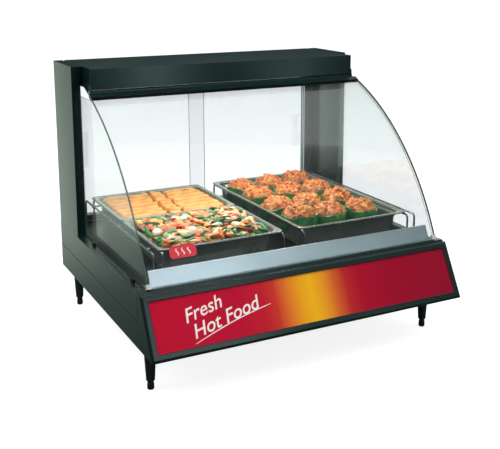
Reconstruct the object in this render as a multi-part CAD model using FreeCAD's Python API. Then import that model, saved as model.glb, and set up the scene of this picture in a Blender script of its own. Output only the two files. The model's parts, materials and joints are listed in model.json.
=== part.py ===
import FreeCAD, Part
import math
import os

# Heated countertop display case: curved front glass, rear sliding doors, two pan bays.
# X runs right, Y runs back, Z runs up. The origin is the middle of the footprint, on the counter.
# Most places are given as (depth, z), where depth is measured forward from the rear plane.

# ---- driving dimensions, mm ----
body_width = 820.0
body_height = 682.0
leg_height = 108.0
seam_z = 169.5
base_top = 234.0
sheet = 1.5
running_gap = 0.3
panel_gap = 0.2
flange = 14.0

sign_width = 826.0
sign_top = (656.3, 241.5)
sign_bottom = (725.0, 112.3)
sign_thickness = 10.0
sign_bevel = 5.0
sign_border = 17.0

column_width = 23.5
column_depth = 172.0
hood_depth = 247.0
hood_bottom = 629.0
hood_half = 380.6

glass_radius = 671.0
glass_thickness = 6.0
glass_centre = (20.6, -8.0)
glass_half = 390.0
glass_bottom_z = 245.0
hinge_axis = (241.0, 622.0)
hinge_rod_radius = 3.5
shaft_clearance = 0.05

deck_z = 228.0
deck_half = 383.0
deck_rear = 26.0
strip_depth = 612.0

pan_width = 324.0
pan_length = 528.0
pan_half_length = 263.5
pan_depth = 64.0
pan_rim_z = 300.0
pan_rear = 28.0
left_bay_x = -168.0
right_bay_x = 200.0
rail_reach = 156.0
outer_rail_gap = 22.0
wire_radius = 2.5

door_width = 398.0
door_thickness = 5.0
track_depth = 24.0
leg_inset = 32.0
front_leg_depth = 613.0
rear_leg_depth = 46.5

# unit steps along the slanted sign, down its face and out of it, as (depth, z)
slope_length = math.hypot(sign_bottom[0] - sign_top[0], sign_bottom[1] - sign_top[1])
slope = ((sign_bottom[0] - sign_top[0]) / slope_length, (sign_bottom[1] - sign_top[1]) / slope_length)
outward = (-slope[1], slope[0])

# the sign's lower bevel edge is the furthest point forward
body_depth = sign_bottom[0] - slope[0] * sign_bevel
half_width = body_width / 2
half_depth = body_depth / 2
leg_x = half_width - leg_inset


def vec(x, depth, z):
    return FreeCAD.Vector(x, half_depth - depth, z)


def block(x0, x1, d0, d1, z0, z1):
    size = (x1 - x0, d1 - d0, z1 - z0)
    return Part.makeBox(size[0], size[1], size[2], vec(x0, d1, z0))


def side_prism(outline, x0, x1):
    # outline is a loop of (depth, z) points, carried along X
    points = [vec(x0, d, z) for d, z in outline]
    face = Part.Face(Part.makePolygon(points + points[:1]))
    return face.extrude(FreeCAD.Vector(x1 - x0, 0, 0))


def end_prism(outline, d0, d1):
    # outline is a loop of (x, z) points, carried along the depth
    points = [vec(x, d0, z) for x, z in outline]
    face = Part.Face(Part.makePolygon(points + points[:1]))
    return face.extrude(FreeCAD.Vector(0, d0 - d1, 0))


def mitred(points, offset):
    # the same open line moved sideways by offset, with mitred corners
    normals = []
    for (a0, b0), (a1, b1) in zip(points, points[1:]):
        length = math.hypot(a1 - a0, b1 - b0)
        normals.append(((b0 - b1) / length, (a1 - a0) / length))
    moved = []
    for i, (a, b) in enumerate(points):
        before = normals[max(i - 1, 0)]
        after = normals[min(i, len(normals) - 1)]
        scale = offset / (1 + before[0] * after[0] + before[1] * after[1])
        moved.append((a + (before[0] + after[0]) * scale, b + (before[1] + after[1]) * scale))
    return moved


def bent(points, thickness):
    return points + mitred(points, thickness)[::-1]


def rod_x(radius, depth, z, x0, x1):
    return Part.makeCylinder(radius, x1 - x0, vec(x0, depth, z), FreeCAD.Vector(1, 0, 0))


def rod_forward(radius, x, z, d0, d1):
    return Part.makeCylinder(radius, d1 - d0, vec(x, d0, z), FreeCAD.Vector(0, -1, 0))


def turned(profile, x, depth):
    # profile is a loop of (radius, z) points, turned about the vertical through (x, depth)
    points = [FreeCAD.Vector(r, 0, z) for r, z in profile]
    face = Part.Face(Part.makePolygon(points + points[:1]))
    solid = face.revolve(FreeCAD.Vector(0, 0, 0), FreeCAD.Vector(0, 0, 1), 360)
    solid.translate(vec(x, depth, 0))
    return solid


def group(shapes):
    return Part.Compound(shapes)


def mirrored(shape):
    return shape.mirror(FreeCAD.Vector(0, 0, 0), FreeCAD.Vector(1, 0, 0))


def save(name, shape):
    shape.exportStep(os.path.join("parts", name + ".step"))


def save_pair(name, left_shape):
    save(name + "_left", left_shape)
    save(name + "_right", mirrored(left_shape))


def glass_point(radius, angle):
    # a point on the front glass curve: angle is measured from straight up, towards the front
    return (glass_centre[0] + radius * math.sin(angle), glass_centre[1] + radius * math.cos(angle))


def curved_band(inner, outer, start, end, x0, x1):
    # a sector of a ring about the glass centre, carried along X
    middle = (start + end) / 2
    corners = [glass_point(inner, start), glass_point(outer, start)]
    corners += [glass_point(outer, end), glass_point(inner, end)]
    a, b, c, d = [vec(x0, p[0], p[1]) for p in corners]
    outer_middle = glass_point(outer, middle)
    inner_middle = glass_point(inner, middle)
    edges = [
        Part.LineSegment(a, b).toShape(),
        Part.Arc(b, vec(x0, outer_middle[0], outer_middle[1]), c).toShape(),
        Part.LineSegment(c, d).toShape(),
        Part.Arc(d, vec(x0, inner_middle[0], inner_middle[1]), a).toShape(),
    ]
    return Part.Face(Part.Wire(edges)).extrude(FreeCAD.Vector(x1 - x0, 0, 0))


# ---- lower enclosure ----
def on_sign(down, lift):
    # down runs along the slanted face from its top edge, lift is measured out of the face
    depth = sign_top[0] + slope[0] * down + outward[0] * lift
    return (depth, sign_top[1] + slope[1] * down + outward[1] * lift)


def front_wall_depth(z):
    # depth of the slanted front wall's outer face, right behind the sign frame
    back = on_sign(0, -sign_thickness)
    return back[0] + (z - back[1]) * slope[0] / slope[1]


ledge_z = 242.0
ledge_inside = 391.0
panel_front = 628.0
panel_inside = half_width - sheet
rear_wall_depth = 2.5
tray_rear = 4.2
tray_front = 688.0
front_fold_depth = 690.0
leg_bolt_radius = 5.0
leg_bolt_height = 6.0
leg_bolt_hole = 6.0


def base_pan():
    # shallow tray that carries the legs, each bolted through a hole in its floor
    edge = panel_inside - panel_gap
    rim = leg_height + flange
    outline = [(-edge, rim), (-edge, leg_height), (edge, leg_height), (edge, rim)]
    tray = end_prism(bent(outline, sheet), tray_rear, tray_front)
    low = leg_height - 1
    high = leg_height + leg_bolt_height + 1
    hole = [(0, low), (leg_bolt_hole, low), (leg_bolt_hole, high), (0, high)]
    for side in (-1, 1):
        for depth in (front_leg_depth, rear_leg_depth):
            tray = tray.cut(turned(hole, side * leg_x, depth))
    return tray


def lower_side_panel():
    top = ledge_z - running_gap
    outline = [(0, leg_height), (front_wall_depth(leg_height), leg_height), (front_wall_depth(top), top)]
    outline += [(panel_front + 1, top), (panel_front + 1, seam_z), (0, seam_z)]
    return side_prism(outline, -half_width, -panel_inside)


def upper_side_panel():
    # folded sheet: the upright skin and the narrow ledge that the side glass and column stand beside
    outline = [(-half_width, seam_z + 1), (-half_width, base_top), (-ledge_inside, base_top)]
    return end_prism(bent(outline, -sheet), 0, panel_front)


def rear_panel():
    # folded sheet with an opening for the control recess and a notch under each column
    fold = [(rear_wall_depth, leg_height), (rear_wall_depth, base_top), (track_depth, base_top)]
    edge = panel_inside - running_gap
    wall = side_prism(bent(fold, -sheet), -edge, edge)
    wall = wall.cut(block(recess_x0 - panel_gap, recess_x1 + panel_gap, 0, 10,
                          recess_z0 - panel_gap, recess_z1 + panel_gap))
    notch = ledge_inside - 1
    for side in (-1, 1):
        x0 = min(side * notch, side * half_width)
        wall = wall.cut(block(x0, x0 + half_width - notch, 0, 30, base_top - 5, base_top + 1))
    return wall


def front_panel():
    # folded sheet: glass rest on top, slanted wall behind the sign, short return underneath
    fold = [(strip_depth + 0.5, ledge_z), (front_wall_depth(ledge_z), ledge_z)]
    fold += [(front_wall_depth(leg_height), leg_height), (front_fold_depth, leg_height)]
    edge = panel_inside - panel_gap
    return side_prism(bent(fold, -sheet), -edge, edge)


sign_lip = 3.0
sign_rebate = 6.0
insert_thickness = 3.0


def sign_frame():
    # picture-frame moulding: a sloping bevel outside, a flat lip inside, and a rebate for the insert
    bevel = sign_bevel
    foot = slope_length
    end = sign_width / 2
    outer = [on_sign(0, -sign_thickness), on_sign(0, -bevel), on_sign(bevel, 0)]
    outer += [on_sign(foot - bevel, 0), on_sign(foot, -bevel), on_sign(foot, -sign_thickness)]
    frame = side_prism(outer, -end, end)
    for side in (-1, 1):
        corner = [(side * end, 0), (side * (end - bevel), 0), (side * end, -bevel)]
        points = []
        for x, lift in corner:
            depth, z = on_sign(-20, lift + 0.001)
            points.append(vec(x, depth, z))
        run = foot + 40
        wedge = Part.Face(Part.makePolygon(points + points[:1]))
        frame = frame.cut(wedge.extrude(FreeCAD.Vector(0, -slope[0] * run, slope[1] * run)))
    behind = -sign_thickness - 1
    for border, front in ((sign_border, 1.0), (sign_border - sign_rebate, -sign_lip)):
        opening = [on_sign(border, front), on_sign(foot - border, front)]
        opening += [on_sign(foot - border, behind), on_sign(border, behind)]
        frame = frame.cut(side_prism(opening, -end + border, end - border))
    return frame


def sign_insert():
    rebate = sign_border - sign_rebate + panel_gap
    back = -sign_lip - insert_thickness
    plate = [on_sign(rebate, -sign_lip), on_sign(slope_length - rebate, -sign_lip)]
    plate += [on_sign(slope_length - rebate, back), on_sign(rebate, back)]
    end = sign_width / 2 - rebate
    return side_prism(plate, -end, end)


def screw_heads(places, radius, height):
    # pan heads standing on the rear panel, each a low cone with a flat top
    heads = []
    for x, z in places:
        place = vec(x, rear_wall_depth, z)
        heads.append(Part.makeCone(radius, radius * 0.7, height, place, FreeCAD.Vector(0, 1, 0)))
    return group(heads)


# ---- rear controls, inside a recess so that nothing stands past the rear plane ----
recess_x0 = 130.0
recess_x1 = 340.0
recess_z0 = 125.0
recess_z1 = 215.0
recess_depth = 22.0
control_z = (recess_z0 + recess_z1) / 2
switch_places = {"heat_switch": 222.0, "lamp_switch": 256.0}
switch_hole = (18.0, 24.0)
switch_frame = (12.0, 15.0, 2.5)
rocker_width = 17.2
knob_x = 302.0
knob_shaft_radius = 3.0
gland_x = 165.0
gland_hole = 9.0


def control_panel():
    # open box let into the rear panel, with framed switch holes and holes for the shaft and the cord
    tray = block(recess_x0, recess_x1, rear_wall_depth, recess_depth, recess_z0, recess_z1)
    tray = tray.cut(block(recess_x0 + sheet, recess_x1 - sheet, 0, recess_depth - sheet,
                          recess_z0 + sheet, recess_z1 - sheet))
    face = recess_depth - sheet
    half_x, half_z, proud = switch_frame
    for x in switch_places.values():
        frame = block(x - half_x, x + half_x, face - proud, face, control_z - half_z, control_z + half_z)
        tray = tray.fuse(frame)
        tray = tray.cut(block(x - switch_hole[0] / 2, x + switch_hole[0] / 2, 0, 30,
                              control_z - switch_hole[1] / 2, control_z + switch_hole[1] / 2))
    tray = tray.cut(rod_forward(knob_shaft_radius + shaft_clearance, knob_x, control_z, 0, 30))
    return tray.cut(rod_forward(gland_hole, gland_x, control_z, 0, 30))


rocker_tilt = 7.0


def rocker(x):
    # a rocker dished in the middle, drawn with its lower half pressed
    pivot_depth = recess_depth - sheet
    half_z = 11.0
    outline = [(4.0, -half_z), (-4.6, -half_z), (-3.2, 0), (-4.6, half_z), (4.0, half_z)]
    placed = [(pivot_depth + d, control_z + z) for d, z in outline]
    solid = side_prism(placed, x - rocker_width / 2, x + rocker_width / 2)
    solid.rotate(vec(x, pivot_depth, control_z), FreeCAD.Vector(1, 0, 0), rocker_tilt)
    return solid


knob_gap = 0.6
knob_skirt = (15.0, 3.0)
knob_grip = (11.0, 14.0)
shaft_reach = 20.0


def thermostat_knob():
    face = recess_depth - sheet - knob_gap
    skirt = rod_forward(knob_skirt[0], knob_x, control_z, face - knob_skirt[1], face)
    front = face - knob_grip[1]
    grip = rod_forward(knob_grip[0], knob_x, control_z, front, face - knob_skirt[1])
    pointer = block(knob_x - 1.2, knob_x + 1.2, front - 1.2, front + 1.0, control_z + 1, control_z + 10.5)
    shaft = rod_forward(knob_shaft_radius, knob_x, control_z, face - 5.0, face + shaft_reach)
    return skirt.fuse([grip, pointer, shaft])


def thermostat_body():
    start = recess_depth + 0.4
    case = block(knob_x - 22, knob_x + 22, start, start + 26, control_z - 18, control_z + 18)
    stub = rod_forward(7.0, knob_x, control_z, start + 26, start + 34)
    case = case.fuse(stub)
    bore = knob_shaft_radius + shaft_clearance
    return case.cut(rod_forward(bore, knob_x, control_z, 0, start + shaft_reach + 0.5))


def cord_gland():
    face = recess_depth - sheet
    flange = rod_forward(14.0, gland_x, control_z, face - 4.0, face)
    barrel = rod_forward(gland_hole - 0.1, gland_x, control_z, face, face + 14.0)
    dome = Part.makeCone(9.0, 12.5, 5.0, vec(gland_x, face - 9.0, control_z), FreeCAD.Vector(0, -1, 0))
    return flange.fuse([barrel, dome]).cut(rod_forward(4.5, gland_x, control_z, 0, 60))


# ---- heated deck ----
deck_upstand = 6.0
mat_thickness = 4.0
board_thickness = 18.0
strip_top_z = 276.5


def deck_plate():
    low = deck_z - sheet
    high = deck_z + deck_upstand
    fold = [(-deck_half, high), (-deck_half, low), (deck_half, low), (deck_half, high)]
    return end_prism(bent(fold, sheet), deck_rear, strip_depth - 5)


def heater_blanket():
    top = deck_z - sheet
    pads = []
    for x in (left_bay_x - 15, right_bay_x - 5):
        pads.append(block(x - 155, x + 155, 60, 570, top - mat_thickness, top))
    return group(pads)


def insulation_board():
    top = deck_z - sheet - mat_thickness
    return block(-deck_half, deck_half, deck_rear + 4, strip_depth - 8, top - board_thickness, top)


def inner_strip():
    # bright folded strip between the deck and the glass rest: up behind, over, and down to the front
    foot_z = ledge_z + sheet + 0.1
    fold = [(strip_depth - 6, deck_z + running_gap), (strip_depth - 1.5, strip_top_z)]
    fold += [(strip_depth + 1.5, strip_top_z), (panel_front + 0.5, foot_z), (panel_front + 7, foot_z)]
    return side_prism(bent(fold, -sheet), -378, 378)


# ---- columns and hood ----
def column():
    x0 = -half_width
    x1 = -half_width + column_width
    box = block(x0, x1, 0, column_depth, base_top, body_height)
    hollow = block(x0 + sheet, x1 - sheet, sheet, column_depth - sheet, base_top - 1, body_height - sheet)
    tall_edges = [e for e in box.Edges if abs(e.tangentAt(e.FirstParameter).z) > 0.9]
    return box.makeFillet(1.4, tall_edges).cut(hollow)


def hood_shell():
    # folded from one sheet: back, top, front and a short return; the front top edge is rounded
    fold = [(running_gap, hood_bottom), (running_gap, body_height), (hood_depth, body_height)]
    fold += [(hood_depth, hood_bottom), (hood_depth - 8, hood_bottom)]
    shell = side_prism(bent(fold, -sheet), -hood_half + sheet, hood_half - sheet)
    rounded = []
    front_y = half_depth - hood_depth
    for edge in shell.Edges:
        middle = edge.CenterOfMass
        at_top = middle.z > body_height - 0.1
        at_front = middle.y < front_y + 0.2
        if edge.Length > hood_half and at_top and at_front:
            rounded.append(edge)
    return shell.makeFillet(1.2, rounded)


def hood_end_cap():
    # end plate, with the raised pad that is bolted to the inside of the column
    plate = block(-hood_half, -hood_half + sheet, running_gap, hood_depth, hood_bottom, body_height)
    column_face = -half_width + column_width
    return plate.fuse(block(column_face, -hood_half, 6, column_depth - 8, hood_bottom + 2, body_height - 1))


heater_slot = (78.0, 162.0, 332.0)
lamp_slot = (180.0, 228.0, 345.0)


def hood_underplate():
    plate = block(-hood_half + 3.2, hood_half - 3.2, 2.0, hood_depth - 9, hood_bottom, hood_bottom + sheet)
    for d0, d1, half in (heater_slot, lamp_slot):
        plate = plate.cut(block(-half, half, d0, d1, hood_bottom - 1, hood_bottom + 3))
    return plate


element_z = 645.0
element_depth = 120.0
element_radius = 4.0
element_cap = (6.5, 10.0)
reflector_rise = 38.0
reflector_lean = 16.0
reflector_sheet = 1.5


def reflector():
    d0, d1, half = heater_slot
    low = hood_bottom + 0.2
    high = hood_bottom + reflector_rise
    rise = [(d0, low), (d0 + reflector_lean, high), (d1 - reflector_lean, high), (d1, low)]
    trough = side_prism(bent(rise, -1.0), -half, half)
    inside = rise + [(d1, hood_bottom)]
    for side in (-1, 1):
        x0 = min(side * half, side * (half - reflector_sheet))
        end = side_prism(inside, x0, x0 + reflector_sheet)
        end = end.cut(rod_x(element_radius, element_depth, element_z, x0 - 1, x0 + 3))
        trough = trough.fuse(end)
    return trough


def infrared_element():
    half = heater_slot[2] + 14
    radius, length = element_cap
    rod = rod_x(element_radius, element_depth, element_z, -half, half)
    for side in (-1, 1):
        x0 = min(side * (half - length), side * half)
        rod = rod.fuse(rod_x(radius, element_depth, element_z, x0, x0 + length))
    return rod


lamp_depth = (lamp_slot[0] + lamp_slot[1]) / 2
lamp_z = 650.0
socket_x = (333.0, 368.0)
socket_radius = 17.0
lamp_x = (240.0, 332.0, 357.0)
lamp_radius = 14.5
lamp_cap_radius = 13.0


def lamp_sockets():
    sockets = []
    for side in (-1, 1):
        x0 = min(side * socket_x[0], side * socket_x[1])
        cup = rod_x(socket_radius, lamp_depth, lamp_z, x0, x0 + socket_x[1] - socket_x[0])
        bore = min(side * (socket_x[0] - 1), side * (socket_x[1] - 10))
        sockets.append(cup.cut(rod_x(lamp_cap_radius + 0.5, lamp_depth, lamp_z, bore, bore + 26)))
    return group(sockets)


def display_lamps():
    lamps = []
    for side in (-1, 1):
        inner, shoulder, outer = lamp_x
        x0 = min(side * outer, side * shoulder)
        cap = rod_x(lamp_cap_radius, lamp_depth, lamp_z, x0, x0 + outer - shoulder)
        x1 = min(side * shoulder, side * inner)
        bulb = rod_x(lamp_radius, lamp_depth, lamp_z, x1, x1 + shoulder - inner)
        tip = Part.makeSphere(lamp_radius, vec(side * inner, lamp_depth, lamp_z))
        lamps.append(cap.fuse([bulb, tip]))
    return group(lamps)


bracket_thickness = 4.0
bracket_length = 50.0


def hinge_brackets():
    # an ear on each end of the hood that carries the hinge rod just below and in front of it
    brackets = []
    depth, z = hinge_axis
    rear = depth - bracket_length
    top = hood_bottom + 14
    ear = [(rear, top), (depth + 4, top), (depth + 6.5, z + 2), (depth + 6.5, z - 2)]
    ear += [(depth + 2, z - 6.5), (depth - 6, z - 6.5), (rear, hood_bottom + 4)]
    for side in (-1, 1):
        x0 = min(side * hood_half, side * (hood_half + bracket_thickness))
        plate = side_prism(ear, x0, x0 + bracket_thickness)
        brackets.append(plate.cut(rod_x(hinge_rod_radius, depth, z, x0 - 1, x0 + 6)))
    return group(brackets)


rod_head = (5.5, 2.0)


def hinge_rod():
    depth, z = hinge_axis
    reach = hood_half + bracket_thickness
    radius, thickness = rod_head
    rod = rod_x(hinge_rod_radius, depth, z, -reach, reach)
    for side in (-1, 1):
        x0 = min(side * reach, side * (reach + thickness))
        rod = rod.fuse(rod_x(radius, depth, z, x0, x0 + thickness))
    return rod


# ---- glass ----
glass_middle = glass_radius - glass_thickness / 2
glass_top_depth = 258.5
glass_start = math.asin((glass_top_depth - glass_centre[0]) / glass_middle)
glass_end = math.acos((glass_bottom_z - glass_centre[1]) / glass_middle)


def front_glass():
    inner = glass_radius - glass_thickness
    return curved_band(inner, glass_radius, glass_start, glass_end, -glass_half, glass_half)


def glass_hinge_rail():
    # tube round the hinge rod, a short web, and a channel that grips the glass's top edge
    depth, z = hinge_axis
    reach = hood_half - 0.6
    tube = rod_x(6.0, depth, z, -reach, reach)
    inner = glass_radius - glass_thickness
    end = glass_half
    grip = curved_band(inner - 2, glass_radius + 2, glass_start - 0.006, glass_start + 0.02, -end, end)
    grip = grip.cut(curved_band(inner, glass_radius, glass_start, glass_start + 0.03, -end - 1, end + 1))
    target = glass_point(glass_middle, glass_start - 0.004)
    length = math.hypot(target[0] - depth, target[1] - z)
    side_step = (-(target[1] - z) / length * 2, (target[0] - depth) / length * 2)
    web = [(depth + side_step[0], z + side_step[1]), (target[0] + side_step[0], target[1] + side_step[1])]
    web += [(target[0] - side_step[0], target[1] - side_step[1]), (depth - side_step[0], z - side_step[1])]
    body = tube.fuse([side_prism(web, -reach, reach), grip])
    return body.cut(rod_x(hinge_rod_radius + shaft_clearance, depth, z, -reach - 1, reach + 1))


def glass_bumpers():
    # clear corner protectors that wrap the glass's bottom corners and meet the glass rest
    inner = glass_radius - glass_thickness
    bumpers = []
    for side in (-1, 1):
        x0 = min(side * (glass_half - 10), side * (glass_half + 1.5))
        wrap_start = glass_end - 0.016
        wrap_end = glass_end + 0.001
        wrap = curved_band(inner - 2, glass_radius + 2.5, wrap_start, wrap_end, x0, x0 + 11.5)
        slot_x = min(side * (glass_half - 11), side * glass_half)
        slot = curved_band(inner, glass_radius, glass_end - 0.03, glass_end, slot_x, slot_x + 11)
        bumpers.append(wrap.cut(slot))
    return group(bumpers)


side_glass_x = 389.5
side_glass_thickness = 5.0
side_glass_low = 231.0
side_glass_top = 606.0
clip_size = (6.0, 16.0, 9.0)
clip_depths = (250.0, 545.0)


def side_glass():
    # upright pane behind the column, its front edge curved to lie just inside the front glass
    rear = column_depth + 2
    radius = glass_radius - glass_thickness - 2
    low = side_glass_low
    step = ledge_z + sheet
    top = side_glass_top
    front_low = math.acos((step - glass_centre[1]) / radius)
    front_top = math.acos((top - glass_centre[1]) / radius)
    corner_low = glass_point(radius, front_low)
    corner_top = glass_point(radius, front_top)
    middle = glass_point(radius, (front_low + front_top) / 2)
    path = [(rear, top), (rear, low), (strip_depth - 7, low), (strip_depth - 7, step), corner_low]
    points = [vec(-side_glass_x, d, z) for d, z in path]
    edges = [Part.LineSegment(a, b).toShape() for a, b in zip(points, points[1:])]
    end = vec(-side_glass_x, corner_top[0], corner_top[1])
    edges.append(Part.Arc(points[-1], vec(-side_glass_x, middle[0], middle[1]), end).toShape())
    edges.append(Part.LineSegment(end, points[0]).toShape())
    return Part.Face(Part.Wire(edges)).extrude(FreeCAD.Vector(side_glass_thickness, 0, 0))


def side_glass_clips():
    clips = []
    across, length, height = clip_size
    for side in (-1, 1):
        x0 = min(side * side_glass_x, side * (side_glass_x + across))
        for depth in clip_depths:
            clips.append(block(x0, x0 + across, depth, depth + length, base_top, base_top + height))
    return group(clips)


# ---- rear doors ----
groove_planes = {"outer": 7.0, "inner": 17.0}
groove_width = 7.0
door_end_x = 372.0
jamb_x = 359.0
door_bottom = base_top + 5.0
door_top = hood_bottom - 3.5
track_height = 14.0
upper_track_drop = 18.0
pull_x = 335.0
pull_width = 20.0
pull_z = (380.0, 480.0)
pull_proud = 3.3


def with_grooves(solid, x0, x1, z0, z1):
    for plane in groove_planes.values():
        solid = solid.cut(block(x0, x1, plane - groove_width / 2, plane + groove_width / 2, z0, z1))
    return solid


def door_jamb():
    outer_x = -half_width + column_width
    bar = block(outer_x + 0.2, -jamb_x, 1, track_depth, base_top, hood_bottom)
    return with_grooves(bar, -door_end_x - 0.8, -jamb_x + 1, base_top - 1, hood_bottom + 1)


def lower_door_track():
    bar = block(-jamb_x, jamb_x, 1, track_depth, base_top, base_top + track_height)
    return with_grooves(bar, -jamb_x - 1, jamb_x + 1, door_bottom - 0.6, base_top + 40)


def upper_door_track():
    bar = block(-jamb_x, jamb_x, 1, track_depth, hood_bottom - upper_track_drop, hood_bottom)
    return with_grooves(bar, -jamb_x - 1, jamb_x + 1, base_top + 40, hood_bottom - 2.4)


def rear_door(side, plane):
    outer_x = side * door_end_x
    inner_x = outer_x - side * door_width
    x0 = min(outer_x, inner_x)
    half = door_thickness / 2
    return block(x0, x0 + door_width, plane - half, plane + half, door_bottom, door_top)


def door_pull(side, plane):
    # low finger pull fixed on the door's rear face: a bar with a hollowed grip
    face = plane - door_thickness / 2
    x0 = side * pull_x - pull_width / 2
    low, high = pull_z
    bar = block(x0, x0 + pull_width, face - pull_proud, face, low, high)
    return bar.cut(block(x0 + 6, x0 + pull_width - 6, face - pull_proud - 1, face - 1.2, low + 10, high - 10))


# ---- pans and racks ----
def rounded_rectangle(x, depth, width, length, radius, z):
    x0, x1 = x - width / 2, x + width / 2
    y0, y1 = half_depth - depth - length / 2, half_depth - depth + length / 2
    diagonal = radius * (1 - math.sqrt(0.5))
    edges = []
    corners = [(x0, y0, 1, 1), (x1, y0, -1, 1), (x1, y1, -1, -1), (x0, y1, 1, -1)]
    stations = []
    for index, (cx, cy, sx, sy) in enumerate(corners):
        along_x = FreeCAD.Vector(cx + sx * radius, cy, z)
        along_y = FreeCAD.Vector(cx, cy + sy * radius, z)
        middle = FreeCAD.Vector(cx + sx * diagonal, cy + sy * diagonal, z)
        pair = (along_y, middle, along_x) if index % 2 == 0 else (along_x, middle, along_y)
        stations.append(pair)
    for index, (start, middle, end) in enumerate(stations):
        edges.append(Part.Arc(start, middle, end).toShape())
        edges.append(Part.LineSegment(end, stations[(index + 1) % 4][0]).toShape())
    return Part.Wire(edges)


def tapered(x, depth, low, high, z0, z1):
    # a solid between two rounded rectangles, each given as (width, length, corner radius)
    wires = [rounded_rectangle(x, depth, low[0], low[1], low[2], z0)]
    wires.append(rounded_rectangle(x, depth, high[0], high[1], high[2], z1))
    return Part.makeLoft(wires, True, True)


pan_lip = 12.0
pan_taper = 9.0
pan_sheet = 1.0
lip_drop = 3.5
lip_corner = 12.0
mouth_corner = 26.0
filling_gap = 0.3
filling_top = 294.0


def pan(x, rear, length):
    centre = rear + length / 2
    low_z = pan_rim_z - pan_depth
    mouth = (pan_width - 2 * pan_lip, length - 2 * pan_lip, mouth_corner)
    foot = (mouth[0] - 2 * pan_taper, mouth[1] - 2 * pan_taper, mouth_corner - 2)
    outer = tapered(x, centre, foot, mouth, low_z, pan_rim_z)
    rim = (pan_width, length, lip_corner)
    lip = tapered(x, centre, rim, rim, pan_rim_z - lip_drop, pan_rim_z)
    hollow = (pan_width - 2.4, length - 2.4, lip_corner - 1)
    under = tapered(x, centre, hollow, hollow, pan_rim_z - lip_drop - 1, pan_rim_z - 1.2)
    lip = lip.cut(under)
    shrink = 2 * pan_sheet
    inner_foot = (foot[0] - shrink, foot[1] - shrink, foot[2] - 1)
    inner_mouth = (mouth[0] - shrink, mouth[1] - shrink, mouth[2] - 1)
    body = outer.fuse(lip)
    inner = tapered(x, centre, inner_foot, inner_mouth, low_z + pan_sheet, pan_rim_z + 0.001)
    return body.cut(inner)


def pan_filling(x, rear, length, top):
    # the food as one plain block that follows the pan's walls from just inside
    centre = rear + length / 2
    low_z = pan_rim_z - pan_depth + pan_sheet + filling_gap
    margin = 2 * (pan_sheet + 0.5)
    mouth = (pan_width - 2 * pan_lip - margin, length - 2 * pan_lip - margin)
    lean = 2 * pan_taper / pan_depth
    low = (mouth[0] - lean * pan_depth, mouth[1] - lean * pan_depth, mouth_corner - 4)
    shrink = lean * (pan_rim_z - top)
    high = (mouth[0] - shrink, mouth[1] - shrink, mouth_corner - 2)
    return tapered(x, centre, low, high, low_z, top)


pepper_columns = 3
pepper_rows = 4
pepper_first = (97.0, 112.0)
pepper_step = (94.0, 112.0)


def stuffed_peppers():
    # each pepper is a turned cup shape with the filling's dome on top; pairs are (radius, height)
    low = pan_rim_z - pan_depth + pan_sheet + filling_gap
    cup = [(0, 0), (24, 0), (34, 12), (38, 40), (37, 69), (29, 83), (14, 90), (0, 92)]
    profile = [(radius, low + height) for radius, height in cup]
    places = []
    for row in range(pepper_rows):
        for column_index in range(pepper_columns):
            x = pepper_first[0] + pepper_step[0] * column_index
            places.append((x, pepper_first[1] + pepper_step[1] * row))
    return group([turned(profile, x, depth) for x, depth in places])


def bent_rod(points, radius, bend):
    # round wire along straight runs joined by equal tangent bends
    edges = []
    start = points[0]
    for before, corner, after in zip(points, points[1:], points[2:]):
        back = (before - corner).normalize()
        ahead = (after - corner).normalize()
        half_turn = back.getAngle(ahead) / 2
        run = bend / math.tan(half_turn)
        middle_way = (back + ahead).normalize()
        centre = corner + middle_way * (bend / math.sin(half_turn))
        arc_start = corner + back * run
        arc_end = corner + ahead * run
        edges.append(Part.LineSegment(start, arc_start).toShape())
        edges.append(Part.Arc(arc_start, centre - middle_way * bend, arc_end).toShape())
        start = arc_end
    edges.append(Part.LineSegment(start, points[-1]).toShape())
    path = Part.Wire(edges)
    section = Part.Wire(Part.makeCircle(radius, points[0], points[1] - points[0]))
    return path.makePipeShell([section], True, True)


rack_rear = 34.0
rack_front = 566.0
rail_z = pan_rim_z - lip_drop - running_gap - wire_radius
rail_bend = 9.0
tie_drop = 4.2
tie_depths = (rack_rear + 60, 300.0, rack_front - 60)


def pan_rack(centre, outside):
    # one rail under the pan's rim each side and a second one outside it, all bent down into legs
    foot_z = deck_z + running_gap + wire_radius
    near = centre - outside * rail_reach
    far = centre + outside * rail_reach
    outer = far + outside * outer_rail_gap
    rails = []
    for x in (near, far, outer):
        points = [vec(x, rack_rear, foot_z), vec(x, rack_rear, rail_z)]
        points += [vec(x, rack_front, rail_z), vec(x, rack_front, foot_z)]
        rails.append(bent_rod(points, wire_radius, rail_bend))
    frame = rails[0].fuse(rails[1:])
    x0 = min(near, outer)
    x1 = max(near, outer)
    ties = []
    for depth in (rack_rear, rack_front):
        ties.append(rod_x(wire_radius, depth, foot_z, x0, x1))
        ties.append(Part.makeSphere(wire_radius, vec(x0, depth, foot_z)))
        ties.append(Part.makeSphere(wire_radius, vec(x1, depth, foot_z)))
    for depth in tie_depths:
        ties.append(rod_x(wire_radius, depth, rail_z - tie_drop, min(far, outer) - 1, max(far, outer) + 1))
    return frame.fuse(ties)


# ---- legs and feet ----
leg_top_radius = 14.5
leg_low_radius = 10.0
leg_low_z = 22.0
socket_top_z = 56.0
stem_radius = 5.0
stem_top_z = 50.0


def leg(x, depth):
    # tapered leg with a bolt stub on top and a bore below for the foot's stem
    bore = stem_radius + shaft_clearance
    bolt_top = leg_height + leg_bolt_height
    profile = [(0, socket_top_z), (bore, socket_top_z), (bore, leg_low_z), (leg_low_radius, leg_low_z)]
    profile += [(leg_top_radius, leg_height - 4), (leg_top_radius, leg_height)]
    profile += [(leg_bolt_radius, leg_height), (leg_bolt_radius, bolt_top), (0, bolt_top)]
    return turned(profile, x, depth)


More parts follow.
